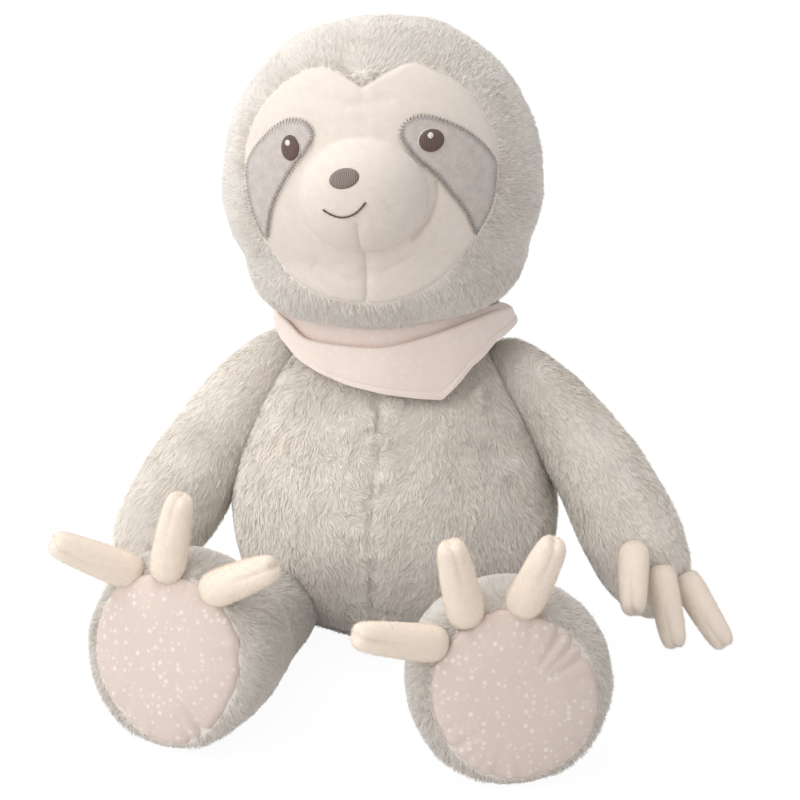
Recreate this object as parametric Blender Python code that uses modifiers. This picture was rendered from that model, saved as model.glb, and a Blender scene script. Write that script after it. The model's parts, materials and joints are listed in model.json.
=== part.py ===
"""A seated plush sloth: pile skins, fibre fillings, sewn claws, cotton soles, face trim and bandana."""

import math

import bmesh
import bpy
from mathutils import Matrix, Vector
from mathutils.bvhtree import BVHTree

# Cloth and clearances, in metres
WALL = 0.002
GAP = 0.0003
SEAM_GAP = 0.0003
FLAT_CUT = 0.0005
OVERRUN = 0.004
FLOOR_CUTTER_SIZE = 0.6
BALL_SEGMENTS = 12
BALL_RINGS = 6
CLAW_BALL_SEGMENTS = 8
CLAW_BALL_RINGS = 6
ROD_SEGMENTS = 16

# The sign of X on each of the toy's sides
SIDE_SIGNS = {"left": 1, "right": -1}

# Arms and legs graze the torso, where the exact solver drops pieces
LIMB_SOLVER = "MANIFOLD"

# Torso
TORSO_HEIGHT = 0.165
TORSO_HALF_WIDTH = 0.088
TORSO_HALF_DEPTH = 0.076
TORSO_SIDES = 10
torso_ring_shares = (
    (0.000, 0.56, 0.54, -0.06),
    (0.070, 0.86, 0.84, -0.07),
    (0.250, 0.99, 0.99, -0.10),
    (0.470, 1.00, 1.01, -0.10),
    (0.700, 0.84, 0.84, -0.06),
    (0.880, 0.63, 0.60, -0.01),
    (0.965, 0.38, 0.38, 0.00),
)

# Neck: a ball of stuffing that the head turns and nods on
NECK_BALL_RADIUS = 0.021
NECK_LIFT = 0.003

# Bag of pellets in the seat
BAG_HALF_WIDTH = 0.030
BAG_HALF_DEPTH = 0.015
BAG_HEIGHT = 0.024
BAG_BACK = 0.006

# Head
HEAD_HALF_WIDTH = 0.0825
HEAD_HALF_DEPTH = 0.073
HEAD_BELOW = 0.065
HEAD_ABOVE = 0.087
HEAD_FORWARD = 0.018
HEAD_PITCH_DEG = -8.0
HEAD_ROLL_DEG = -5.0
HEAD_YAW_DEG = 3.0
HEAD_SIDES = 10
head_ring_shares = (
    (-0.93, 0.42, 0.42),
    (-0.70, 0.76, 0.76),
    (-0.36, 0.96, 0.95),
    (0.02, 1.01, 1.01),
    (0.34, 0.95, 0.96),
    (0.66, 0.79, 0.80),
    (0.90, 0.48, 0.48),
)
MUZZLE_HALF_WIDTH = 0.031
MUZZLE_HALF_HEIGHT = 0.027
MUZZLE_REACH = 0.013
MUZZLE_HALF_DEPTH = 0.024
MUZZLE_HEIGHT = 0.069
FACE_TOP = 0.131
FACE_BOTTOM = 0.016
FACE_HALF_WIDTH = 0.0625
face_outline_shares = (
    (0.03, 0.910),
    (0.22, 0.960),
    (0.43, 0.982),
    (0.73, 0.890),
    (0.93, 0.750),
    (1.02, 0.600),
    (1.01, 0.450),
    (0.94, 0.335),
    (0.78, 0.215),
    (0.55, 0.095),
    (0.26, 0.015),
    (-0.05, 0.000),
    (-0.36, 0.030),
    (-0.63, 0.110),
    (-0.83, 0.250),
    (-0.95, 0.410),
    (-0.98, 0.560),
    (-0.96, 0.690),
    (-0.86, 0.810),
    (-0.62, 0.930),
    (-0.38, 0.985),
    (-0.15, 0.965),
)
PATCH_THICKNESS = 0.0012
patch_outline_shares = {
    "left": (
        (0.31, 0.700),
        (0.35, 0.755),
        (0.46, 0.775),
        (0.60, 0.750),
        (0.76, 0.680),
        (0.90, 0.575),
        (0.955, 0.480),
        (0.91, 0.350),
        (0.83, 0.262),
        (0.75, 0.370),
        (0.66, 0.450),
        (0.55, 0.535),
        (0.41, 0.615),
    ),
    "right": (
        (0.35, 0.715),
        (0.39, 0.765),
        (0.49, 0.785),
        (0.61, 0.765),
        (0.74, 0.705),
        (0.86, 0.610),
        (0.91, 0.520),
        (0.87, 0.410),
        (0.79, 0.335),
        (0.73, 0.420),
        (0.65, 0.500),
        (0.53, 0.590),
        (0.42, 0.655),
    ),
}
THREAD_THICKNESS = 0.0008
EYE_OUT = 0.0333
EYE_HEIGHT = 0.0925
EYE_HALF_WIDTH = 0.0052
EYE_HALF_HEIGHT = 0.0057
GLINT_RADIUS = 0.0013
GLINT_ASIDE = 0.0006
GLINT_ABOVE = 0.0024
NOSE_HALF_WIDTH = 0.0072
NOSE_HALF_HEIGHT = 0.0048
NOSE_ASIDE = -0.0052
NOSE_HEIGHT = 0.0800
NOSE_ROLL_DEG = 9.0
MOUTH_HALF_WIDTH = 0.0106
MOUTH_SAG = 0.0052
MOUTH_THREAD = 0.0013
MOUTH_HEIGHT = 0.0622
MOUTH_ROLL_DEG = 8.0
MOUTH_POINTS = 7
MOUTH_TAPER_SHARE = 0.5

# Arms
SHOULDER_BALL_RADIUS = 0.0165
ARM_HALF_WIDTH = 0.0275
ARM_LENGTH = 0.150
ARM_OPENING_RADIUS = 0.006
ARM_SIDES = 8
SHOULDER_DROP = 0.02145
shoulder_place_shares = (0.645, -0.01)
arm_spine_shares = {
    "left": (
        (0.020, 0.000, -0.010),
        (0.200, -0.035, -0.180),
        (0.380, -0.100, -0.420),
        (0.495, -0.155, -0.640),
        (0.575, -0.185, -0.785),
    ),
    "right": (
        (0.020, 0.000, -0.010),
        (0.155, -0.040, -0.180),
        (0.300, -0.105, -0.420),
        (0.430, -0.155, -0.640),
        (0.520, -0.185, -0.785),
    ),
}
arm_half_width_shares = (0.58, 0.79, 0.96, 1.00, 0.66)
arm_end_shares = {
    "left": ((-0.09, 0.014, 0.09), (0.615, -0.200, -0.850)),
    "right": ((-0.09, 0.014, 0.09), (0.555, -0.200, -0.850)),
}

# Legs
HIP_BALL_RADIUS = 0.032
LEG_LENGTHS = {"left": 0.164, "right": 0.155}
LEG_SPLAY_DEG = {"left": 15.5, "right": 14.0}
FOOT_SPLAY_DEG = 17.0
FOOT_TILT_DEG = 12.0
FOOT_HALF_WIDTH = 0.0505
FOOT_HALF_HEIGHT = 0.0475
SOLE_HALF_WIDTH = 0.0400
SOLE_HALF_HEIGHT = 0.0418
SOLE_REACH = 0.008
LEG_SIDES = 8
HIP_HEIGHT = 0.025575
hip_place_shares = (0.50, -0.36)
leg_ring_shares = (
    (0.08, 0.42, 0.42),
    (0.30, 0.52, 0.52),
    (0.50, 0.62, 0.60),
    (0.66, 0.86, 0.84),
    (0.80, 1.00, 1.00),
    (0.93, 1.00, 1.00),
    (0.985, 0.84, 0.84),
)
leg_end_shares = (-0.02, 1.005)

# Claws
CLAW_LENGTH = 0.040
CLAW_HALF_WIDTH = 0.0086
CLAW_THICKNESS_SHARE = 0.90
CLAW_BEND_SHARE = 0.06
CLAW_SIDES = 6
CLAW_STAND_OFF = 0.0035
CLAW_ROOT_RADIUS = 0.0073
CLAW_ROOT_DEPTH = 0.0097
HAND_CLAW_SCALE_SHARE = 0.90
claw_ring_shares = (
    (-0.09, 0.95),
    (0.36, 0.92),
    (0.87, 0.76),
)

# Where each claw stands, from the hand's or foot's middle, and which way it lies
HAND_RING = 3
hand_claw_shares = {
    "left": (
        ((-0.10, -0.88, 0.46), (0.08, -0.90, -0.42)),
        ((0.42, -0.90, -0.02), (0.26, -0.62, -0.74)),
        ((0.85, -0.44, -0.30), (0.56, -0.50, -0.66)),
    ),
    "right": (
        ((-0.45, -0.80, -0.40), (-0.22, -0.92, -0.36)),
        ((0.02, -0.82, -0.56), (-0.12, -0.92, -0.36)),
        ((0.46, -0.70, -0.56), (-0.02, -0.93, -0.36)),
    ),
}
TOE_BACK = 0.020
toe_claw_shares = {
    "left": (
        ((0.80, 0.56, 0.22), (0.90, 0.22, 0.36)),
        ((0.44, 0.87, 0.20), (0.21, 0.87, 0.44)),
        ((-0.14, 0.96, 0.22), (-0.26, 0.78, 0.57)),
    ),
    "right": (
        ((0.50, 0.84, 0.22), (0.84, 0.47, 0.26)),
        ((-0.08, 0.97, 0.22), (0.23, 0.93, 0.28)),
        ((-0.58, 0.80, 0.20), (-0.63, 0.33, 0.70)),
    ),
}

# Bandana: it stands out past the shoulders, its heights are shares of its own from the torso's top,
# and its reaches are shares of its two half widths
BANDANA_SPREAD = 0.00324
BANDANA_HALF_DEPTH = 0.052
BANDANA_HEIGHT = 0.165
BANDANA_THICKNESS = 0.0012
BANDANA_LIFT = 0.0008
BANDANA_STEPS = 18
FOLD_DEPTH = 0.0034
FOLD_DROP = 0.0070
BANDANA_TURNS_DEG = (-180, -135, -100, -75, -55, -40, -15, 3, 29, 45, 62, 85, 120, 180)
bandana_shares = (
    (0.985, 1.010, 1.035, 1.00, 1.00, 0.0),
    (0.980, 1.005, 1.030, 1.00, 1.00, 0.0),
    (0.967, 1.005, 1.025, 1.00, 1.02, 0.0),
    (0.976, 1.010, 1.030, 1.03, 1.03, 0.2),
    (0.945, 1.010, 1.035, 1.04, 1.03, 0.7),
    (0.910, 0.985, 1.040, 1.04, 1.02, 1.0),
    (0.873, 0.990, 1.045, 1.06, 1.02, 1.0),
    (0.855, 1.000, 1.050, 1.07, 1.03, 1.0),
    (0.830, 1.040, 1.060, 1.07, 1.02, 0.8),
    (0.920, 1.060, 1.075, 1.04, 1.01, 0.4),
    (0.980, 1.060, 1.075, 1.03, 1.00, 0.1),
    (1.000, 1.040, 1.055, 1.03, 0.99, 0.0),
    (0.990, 1.015, 1.035, 1.02, 1.00, 0.0),
    (0.985, 1.010, 1.035, 1.00, 1.00, 0.0),
)


def clear_scene():
    for old in list(bpy.data.objects):
        bpy.data.objects.remove(old, do_unlink=True)


def collection_named(name):
    found = bpy.data.collections.new(name)
    bpy.context.scene.collection.children.link(found)
    return found


def material_named(name, colour, roughness):
    """A cloth material: colour is linear red, green, blue."""
    made = bpy.data.materials.new(name)
    made.use_nodes = True
    shader = made.node_tree.nodes["Principled BSDF"]
    shader.inputs["Base Color"].default_value = (*colour, 1.0)
    shader.inputs["Roughness"].default_value = roughness
    shader.inputs["Metallic"].default_value = 0.0
    made.diffuse_color = (*colour, 1.0)
    return made


class Workbench:
    """The collections, cloths and shared shapes that the pieces are made with."""

    def __init__(self):
        self.parts = collection_named("plush_sloth")
        self.cutters = collection_named("cutters")
        self.cloths = {
            "pile": material_named("grey_pile_cloth", (0.56, 0.50, 0.45), 0.95),
            "velour": material_named("cream_velour", (0.90, 0.80, 0.68), 0.90),
            "patch": material_named("grey_velour", (0.50, 0.44, 0.41), 0.90),
            "cotton": material_named("dotted_cotton", (0.78, 0.65, 0.60), 0.85),
            "dark": material_named("dark_brown_thread", (0.10, 0.06, 0.055), 0.60),
            "taupe": material_named("taupe_thread", (0.30, 0.23, 0.20), 0.60),
            "white": material_named("white_thread", (0.90, 0.88, 0.85), 0.60),
            "fibre": material_named("white_fibre", (0.85, 0.85, 0.84), 1.0),
            "pellets": material_named("calico_bag", (0.70, 0.66, 0.58), 0.90),
        }

    def add(self, name, mesh, cloth=None, parent=None):
        """An object of this mesh: a piece when it has a cloth, and a cutter when it has none."""
        made = bpy.data.objects.new(name, mesh)
        made.parent = parent
        if cloth is None:
            self.cutters.objects.link(made)
            made.hide_render = True
            made.display_type = "WIRE"
        else:
            self.parts.objects.link(made)
            mesh.materials.append(self.cloths[cloth])
            mesh.shade_smooth()
            mesh.set_sharp_from_angle(angle=math.radians(40.0))
        return made

    def pivot(self, name, place, parent=None, turn=(0.0, 0.0, 0.0)):
        made = bpy.data.objects.new(name, None)
        made.location = place
        made.rotation_euler = turn
        made.parent = parent
        self.parts.objects.link(made)
        return made


def mesh_from(name, shape):
    """The mesh of this bmesh, which is freed."""
    made = bpy.data.meshes.new(name)
    shape.to_mesh(made)
    shape.free()
    return made


def ring_cage(name, rings, ends, sides):
    """A closed cage on rings of (centre, half axis, half axis), with a point at each end.

    A smoothed ring runs through the middles of its cage's sides, so the corners stand out by that much.
    """
    swell = 1.0 / math.cos(math.pi / sides)
    levels = len(rings) + 1
    shape = bmesh.new()
    bmesh.ops.create_uvsphere(shape, u_segments=sides, v_segments=levels, radius=1.0)
    for corner in shape.verts:
        level = round(math.acos(max(-1.0, min(1.0, corner.co.z))) / math.pi * levels)
        if level == 0:
            corner.co = ends[1]
        elif level == levels:
            corner.co = ends[0]
        else:
            centre, across, over = rings[len(rings) - level]
            turn = math.atan2(corner.co.y, corner.co.x)
            corner.co = centre + swell * (math.cos(turn) * across + math.sin(turn) * over)
    return mesh_from(name, shape)


def soften(piece, depth=0.0):
    """Rounds the cage, then moves its surface this far inwards."""
    smooth = piece.modifiers.new("Smooth", "SUBSURF")
    smooth.levels = 1
    smooth.render_levels = 1
    if depth:
        inset = piece.modifiers.new("Inset", "DISPLACE")
        inset.direction = "NORMAL"
        inset.mid_level = 0.0
        inset.strength = -depth


def combine(piece, operation, others, solver):
    for other in others:
        step = piece.modifiers.new(operation.capitalize(), "BOOLEAN")
        step.operation = operation
        step.solver = solver
        step.object = other


def cut(piece, *others, solver="EXACT"):
    combine(piece, "DIFFERENCE", others, solver)


def join(piece, *others, solver="EXACT"):
    combine(piece, "UNION", others, solver)


def keep_inside(piece, *others, solver="EXACT"):
    combine(piece, "INTERSECT", others, solver)


def ball_mesh(name, radii, centre=(0.0, 0.0, 0.0), facets=(BALL_SEGMENTS, BALL_RINGS)):
    shape = bmesh.new()
    bmesh.ops.create_uvsphere(shape, u_segments=facets[0], v_segments=facets[1], radius=1.0)
    bmesh.ops.scale(shape, vec=Vector(radii), verts=shape.verts)
    bmesh.ops.translate(shape, vec=Vector(centre), verts=shape.verts)
    return mesh_from(name, shape)


def pocket(bench, name, ball_radius, parent, facets=(BALL_SEGMENTS, BALL_RINGS), upright=False):
    """A pocket whose flat facets clear a ball of this radius by the gap, however the ball turns.

    A ball that only turns upright keeps its rings level with the pocket's, so its pocket is tighter.
    """
    flats = math.cos(math.pi / facets[0])
    if not upright:
        flats *= math.cos(math.pi / (2 * facets[1]))
    radius = (ball_radius + GAP) / flats
    mesh = ball_mesh(name, (radius, radius, radius), facets=facets)
    return bench.add(name, mesh, parent=parent)


def floor_cutter(bench, height):
    """A block whose top lies at this height, which cuts a form flat where it rests."""
    shape = bmesh.new()
    bmesh.ops.create_cube(shape, size=FLOOR_CUTTER_SIZE)
    lowered = Vector((0.0, 0.0, height - FLOOR_CUTTER_SIZE / 2))
    bmesh.ops.translate(shape, vec=lowered, verts=shape.verts)
    return bench.add("floor_cutter", mesh_from("floor_cutter", shape))


def rod_mesh(name, radii, length):
    """A rod round the Z axis, from the origin up, with an oval section of these radii."""
    shape = bmesh.new()
    bmesh.ops.create_cone(
        shape, cap_ends=True, segments=ROD_SEGMENTS, radius1=1.0, radius2=1.0, depth=1.0
    )
    bmesh.ops.scale(shape, vec=Vector((radii[0], radii[1], length)), verts=shape.verts)
    bmesh.ops.translate(shape, vec=Vector((0.0, 0.0, length / 2)), verts=shape.verts)
    return mesh_from(name, shape)


def counterclockwise(points):
    after = points[1:] + points[:1]
    area = sum(a[0] * b[1] - b[0] * a[1] for a, b in zip(points, after))
    return points if area > 0.0 else points[::-1]


def prism_mesh(name, outline, depth, inset=0.0, sharp=()):
    """An outline in X and Z, drawn in by the inset and extruded along -Y for this depth."""
    outline = counterclockwise(outline)
    curve = bpy.data.curves.new(name, "CURVE")
    curve.dimensions = "2D"
    curve.fill_mode = "BOTH"
    curve.extrude = depth / 2
    curve.offset = -inset
    curve.resolution_u = 2
    spline = curve.splines.new("BEZIER")
    spline.bezier_points.add(len(outline) - 1)
    for point, place in zip(spline.bezier_points, outline):
        point.co = (place[0], place[1], 0.0)
        handle = "VECTOR" if place in sharp else "AUTO"
        point.handle_left_type = handle
        point.handle_right_type = handle
    spline.use_cyclic_u = True
    drawn = bpy.data.objects.new(name, curve)
    bpy.context.scene.collection.objects.link(drawn)
    bpy.context.view_layer.update()
    graph = bpy.context.evaluated_depsgraph_get()
    made = bpy.data.meshes.new_from_object(drawn.evaluated_get(graph))
    bpy.data.objects.remove(drawn, do_unlink=True)
    shape = bmesh.new()
    shape.from_mesh(made)
    bmesh.ops.remove_doubles(shape, verts=shape.verts, dist=GAP / 10)
    bmesh.ops.rotate(shape, matrix=Matrix.Rotation(math.pi / 2, 3, "X"), verts=shape.verts)
    bmesh.ops.translate(shape, vec=Vector((0.0, -depth / 2, 0.0)), verts=shape.verts)
    bmesh.ops.recalc_face_normals(shape, faces=shape.faces)
    bpy.data.meshes.remove(made)
    return mesh_from(name, shape)


def surface_of(piece):
    """The piece's evaluated surface, in world space, for finding places on it."""
    bpy.context.view_layer.update()
    graph = bpy.context.evaluated_depsgraph_get()
    evaluated = piece.evaluated_get(graph)
    shape = bmesh.new()
    shape.from_object(evaluated, graph)
    bmesh.ops.transform(shape, matrix=evaluated.matrix_world, verts=shape.verts)
    tree = BVHTree.FromBMesh(shape)
    shape.free()
    return tree


def torso_form(bench, name, depth, cloth=None):
    foot = -FLAT_CUT
    rings = []
    for height, width, deep, forward in torso_ring_shares:
        centre = Vector((0.0, forward * TORSO_HALF_DEPTH, foot + height * (TORSO_HEIGHT - foot)))
        across = Vector((width * TORSO_HALF_WIDTH, 0.0, 0.0))
        over = Vector((0.0, deep * TORSO_HALF_DEPTH, 0.0))
        rings.append((centre, across, over))
    ends = (Vector((0.0, rings[0][0].y, foot)), Vector((0.0, rings[-1][0].y, TORSO_HEIGHT)))
    made = bench.add(name, ring_cage(name, rings, ends, TORSO_SIDES), cloth)
    soften(made, depth)
    return made


def neck_place():
    return Vector((0.0, 0.0, TORSO_HEIGHT + NECK_LIFT))


def side_place(shares, height, side):
    across = SIDE_SIGNS[side] * shares[0] * TORSO_HALF_WIDTH
    return Vector((across, shares[1] * TORSO_HALF_DEPTH, height))


def bag_mesh(name, gap):
    """The seat bag: the top half of a flat ball that stands on the torso's cloth."""
    radii = (BAG_HALF_WIDTH + gap, BAG_HALF_DEPTH + gap, BAG_HEIGHT + gap)
    return ball_mesh(name, radii, (0.0, BAG_BACK, WALL))


def make_torso(bench, pivots):
    pockets = [pocket(bench, "neck_pocket", NECK_BALL_RADIUS, pivots["neck"], upright=True)]
    for limb, radius in (("shoulder", SHOULDER_BALL_RADIUS), ("hip", HIP_BALL_RADIUS)):
        for side in SIDE_SIGNS:
            name = f"{side}_{limb}_pocket"
            pockets.append(pocket(bench, name, radius, pivots[f"{side}_{limb}"]))

    skin = torso_form(bench, "torso_skin", 0.0, "pile")
    inside = torso_form(bench, "torso_inside", WALL)
    cut(inside, floor_cutter(bench, WALL))
    cut(skin, floor_cutter(bench, 0.0), inside, *pockets)

    filling = torso_form(bench, "torso_filling", WALL + GAP, "fibre")
    bag_space = bench.add("bag_space", bag_mesh("bag_space", GAP))
    cut(filling, floor_cutter(bench, WALL + GAP), bag_space, *pockets)

    bag = bench.add("pellet_bag", bag_mesh("pellet_bag", 0.0), "pellets")
    cut(bag, floor_cutter(bench, WALL + GAP))


def make_neck(bench, pivots):
    radius = NECK_BALL_RADIUS
    mesh = ball_mesh("neck_filling", (radius,) * 3)
    ball = bench.add("neck_filling", mesh, "fibre", pivots["neck"])
    ball.rotation_euler = (0.0, 0.0, math.pi / BALL_SEGMENTS)


def head_form(bench, name, depth, head, cloth=None):
    """The head with its muzzle, its surface moved inwards by the depth."""
    rings = []
    for height, width, deep in head_ring_shares:
        reach = HEAD_BELOW if height < 0.0 else HEAD_ABOVE
        centre = Vector((0.0, -HEAD_FORWARD, HEAD_BELOW + height * reach))
        across = Vector((width * HEAD_HALF_WIDTH, 0.0, 0.0))
        over = Vector((0.0, deep * HEAD_HALF_DEPTH, 0.0))
        rings.append((centre, across, over))
    ends = (
        Vector((0.0, -HEAD_FORWARD, 0.0)),
        Vector((0.0, -HEAD_FORWARD, HEAD_BELOW + HEAD_ABOVE)),
    )
    made = bench.add(name, ring_cage(name, rings, ends, HEAD_SIDES), cloth, head)
    soften(made, depth)
    radii = (
        MUZZLE_HALF_WIDTH - depth,
        MUZZLE_HALF_DEPTH - depth,
        MUZZLE_HALF_HEIGHT - depth,
    )
    front = HEAD_FORWARD + HEAD_HALF_DEPTH + MUZZLE_REACH
    centre = (0.0, MUZZLE_HALF_DEPTH - front, MUZZLE_HEIGHT)
    muzzle = bench.add(f"{name}_muzzle", ball_mesh(f"{name}_muzzle", radii, centre), parent=head)
    join(made, muzzle)
    return made


def face_outline(outline_shares, sign=1):
    return [
        (sign * across * FACE_HALF_WIDTH, FACE_BOTTOM + up * (FACE_TOP - FACE_BOTTOM))
        for across, up in outline_shares
    ]


def front_prism(bench, name, outline, head, inset=0.0, sharp=()):
    """A prism that stands on the head's middle plane and runs out past the muzzle."""
    depth = HEAD_HALF_DEPTH + MUZZLE_REACH + OVERRUN
    mesh = prism_mesh(name, outline, depth, inset, sharp)
    made = bench.add(name, mesh, parent=head)
    made.location = (0.0, -HEAD_FORWARD, 0.0)
    return made


def front_oval(bench, name, centre, half_width, half_height, head, roll_deg=0.0):
    depth = HEAD_HALF_DEPTH + MUZZLE_REACH + OVERRUN
    made = bench.add(name, rod_mesh(name, (half_width, half_height), depth), parent=head)
    made.location = (centre[0], -HEAD_FORWARD, centre[1])
    made.rotation_euler = (math.pi / 2, -math.radians(roll_deg), 0.0)
    return made


def head_layer(bench, name, low, high, shape, head, cloth):
    """A flat piece that follows the face between two heights above it, inside the shape."""
    made = head_form(bench, name, -high, head, cloth)
    keep_inside(made, shape)
    cut(made, head_form(bench, f"{name}_under", -low, head))
    return made


def mouth_outline():
    """A thin smile: its upper edge one way and its lower edge back."""
    upper, lower = [], []
    for step in range(MOUTH_POINTS):
        along = 2.0 * step / (MOUTH_POINTS - 1) - 1.0
        taper = 1.0 - MOUTH_TAPER_SHARE * along**4
        height = MOUTH_HEIGHT + MOUTH_SAG * along**2
        upper.append((along * MOUTH_HALF_WIDTH, height + taper * MOUTH_THREAD / 2))
        lower.append((along * MOUTH_HALF_WIDTH, height - taper * MOUTH_THREAD / 2))
    turn = math.radians(MOUTH_ROLL_DEG)
    drawn = []
    for across, height in upper + lower[::-1]:
        rise = height - MOUTH_HEIGHT
        drawn.append(
            (
                NOSE_ASIDE + across * math.cos(turn) - rise * math.sin(turn),
                MOUTH_HEIGHT + across * math.sin(turn) + rise * math.cos(turn),
            )
        )
    return drawn


def make_head(bench, pivots):
    head = pivots["head"]
    neck_pocket = pocket(bench, "head_neck_pocket", NECK_BALL_RADIUS, head)
    outline = face_outline(face_outline_shares)
    peak = outline[:1]
    opening = front_prism(bench, "face_opening", outline, head, 0.0, peak)
    panel_shape = front_prism(bench, "face_panel_shape", outline, head, SEAM_GAP, peak)

    inside = head_form(bench, "head_inside", WALL, head)
    hood = head_form(bench, "head_hood", 0.0, head, "pile")
    cut(hood, inside, opening, neck_pocket)
    panel = head_form(bench, "face_panel", 0.0, head, "velour")
    keep_inside(panel, panel_shape)
    cut(panel, inside)
    filling = head_form(bench, "head_filling", WALL + GAP, head, "fibre")
    cut(filling, neck_pocket)

    patch_low, patch_high = GAP, GAP + PATCH_THICKNESS
    eye_low = patch_high + GAP
    eye_high = eye_low + THREAD_THICKNESS
    glint_low = eye_high + GAP
    glint_high = glint_low + THREAD_THICKNESS
    for side, sign in SIDE_SIGNS.items():
        shape = front_prism(
            bench, f"{side}_patch_shape", face_outline(patch_outline_shares[side], sign), head
        )
        head_layer(bench, f"{side}_eye_patch", patch_low, patch_high, shape, head, "patch")
        eye = (sign * EYE_OUT, EYE_HEIGHT)
        shape = front_oval(bench, f"{side}_eye_shape", eye, EYE_HALF_WIDTH, EYE_HALF_HEIGHT, head)
        head_layer(bench, f"{side}_eye", eye_low, eye_high, shape, head, "dark")
        glint = (eye[0] - GLINT_ASIDE, eye[1] + GLINT_ABOVE)
        shape = front_oval(bench, f"{side}_glint_shape", glint, GLINT_RADIUS, GLINT_RADIUS, head)
        head_layer(bench, f"{side}_eye_glint", glint_low, glint_high, shape, head, "white")

    thread_low, thread_high = GAP, GAP + THREAD_THICKNESS
    place = (NOSE_ASIDE, NOSE_HEIGHT)
    shape = front_oval(
        bench, "nose_shape", place, NOSE_HALF_WIDTH, NOSE_HALF_HEIGHT, head, NOSE_ROLL_DEG
    )
    head_layer(bench, "nose", thread_low, thread_high, shape, head, "taupe")
    shape = front_prism(bench, "mouth_shape", mouth_outline(), head)
    head_layer(bench, "mouth", thread_low, thread_high, shape, head, "dark")


def limb_rings(spine, sizes, reference):
    """Rings square to a spine: sizes are (half width, half height) and the reference points up."""
    rings = []
    for index, centre in enumerate(spine):
        before = spine[max(index - 1, 0)]
        after = spine[min(index + 1, len(spine) - 1)]
        along = (after - before).normalized()
        across = reference.cross(along).normalized()
        over = along.cross(across)
        rings.append((centre, across * sizes[index][0], over * sizes[index][1]))
    return rings


def arm_form(bench, name, depth, side, shoulder, cloth=None):
    def place(shares):
        return Vector((SIDE_SIGNS[side] * shares[0], shares[1], shares[2])) * ARM_LENGTH

    spine = [place(shares) for shares in arm_spine_shares[side]]
    sizes = [(share * ARM_HALF_WIDTH, share * ARM_HALF_WIDTH) for share in arm_half_width_shares]
    rings = limb_rings(spine, sizes, Vector((0.0, -1.0, 0.0)))
    ends = [place(shares) for shares in arm_end_shares[side]]
    made = bench.add(name, ring_cage(name, rings, ends, ARM_SIDES), cloth, shoulder)
    soften(made, depth)
    return made


def arm_solid(bench, name, depth, side, shoulder, cloth=None):
    """The arm cut by the torso, with the ball that sits in the torso's shoulder pocket."""
    made = arm_form(bench, name, depth, side, shoulder, cloth)
    torso = torso_form(bench, f"{name}_torso_cutter", -(GAP + depth))
    radius = SHOULDER_BALL_RADIUS - depth
    ball = bench.add(f"{name}_ball", ball_mesh(f"{name}_ball", (radius,) * 3), parent=shoulder)
    cut(made, torso, solver=LIMB_SOLVER)
    join(made, ball, solver=LIMB_SOLVER)
    return made


def make_arm(bench, side, shoulder, claw_pockets):
    skin = arm_solid(bench, f"{side}_arm_skin", 0.0, side, shoulder, "pile")
    inside = arm_solid(bench, f"{side}_arm_inside", WALL, side, shoulder)
    name = f"{side}_arm_opening"
    length = SHOULDER_BALL_RADIUS + OVERRUN
    opening = bench.add(name, rod_mesh(name, (ARM_OPENING_RADIUS,) * 2, length), parent=shoulder)
    opening.rotation_euler = (0.0, -SIDE_SIGNS[side] * math.pi / 2, 0.0)
    cut(skin, inside, opening, *claw_pockets, solver=LIMB_SOLVER)
    filling = arm_solid(bench, f"{side}_arm_filling", WALL + GAP, side, shoulder, "fibre")
    cut(filling, *claw_pockets, solver=LIMB_SOLVER)


def leg_frame(side):
    """The sole's centre from the hip, and the foot's forward, inward and upward directions."""
    sign = SIDE_SIGNS[side]
    splay = math.radians(LEG_SPLAY_DEG[side])
    turned = math.radians(FOOT_SPLAY_DEG)
    tilt = math.radians(FOOT_TILT_DEG)
    height = FOOT_HALF_HEIGHT * math.cos(tilt) - FLAT_CUT
    drop = height - HIP_HEIGHT
    length = LEG_LENGTHS[side]
    sole = Vector((sign * math.sin(splay) * length, -math.cos(splay) * length, drop))
    level = Vector((sign * math.sin(turned), -math.cos(turned), 0.0))
    inward = Vector((-sign * math.cos(turned), -math.sin(turned), 0.0))
    forward = level * math.cos(tilt) + Vector((0.0, 0.0, math.sin(tilt)))
    upward = Vector((0.0, 0.0, math.cos(tilt))) - level * math.sin(tilt)
    return sole, forward, inward, upward


def leg_form(bench, name, depth, side, hip, cloth=None):
    sole, forward, inward, _ = leg_frame(side)
    level = Vector((forward.x, forward.y, 0.0)).normalized()
    tip = Vector((sole.x, sole.y, 0.0))
    middle = tip - level * (LEG_LENGTHS[side] / 2)
    tilt = math.radians(FOOT_TILT_DEG)

    def spine_place(along):
        """A level curve from the hip that reaches the sole square to it."""
        return 2.0 * along * (1.0 - along) * middle + along**2 * tip

    rings = []
    for along, width, height in leg_ring_shares:
        half_height = height * FOOT_HALF_HEIGHT
        lean = tilt * along
        centre = spine_place(along)
        rise = max(half_height * math.cos(lean), HIP_HEIGHT * (1.0 - along))
        centre.z = rise - FLAT_CUT - HIP_HEIGHT
        over = Vector((0.0, 0.0, math.cos(lean))) - level * math.sin(lean)
        across = -SIDE_SIGNS[side] * inward
        rings.append((centre, across * width * FOOT_HALF_WIDTH, over * half_height))
    ends = []
    for along, ring in zip(leg_end_shares, (rings[0], rings[-1])):
        end = spine_place(along)
        end.z = ring[0].z
        ends.append(end)
    made = bench.add(name, ring_cage(name, rings, ends, LEG_SIDES), cloth, hip)
    soften(made, depth)
    return made


def leg_solid(bench, name, depth, side, hip, cloth=None):
    """The leg cut by the torso, with its hip ball."""
    made = leg_form(bench, name, depth, side, hip, cloth)
    cut(made, torso_form(bench, f"{name}_torso_cutter", -(GAP + depth)), solver=LIMB_SOLVER)
    radius = HIP_BALL_RADIUS - depth
    ball = bench.add(f"{name}_ball", ball_mesh(f"{name}_ball", (radius,) * 3), parent=hip)
    join(made, ball, solver=LIMB_SOLVER)
    cut(made, floor_cutter(bench, depth), solver=LIMB_SOLVER)
    return made


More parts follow.
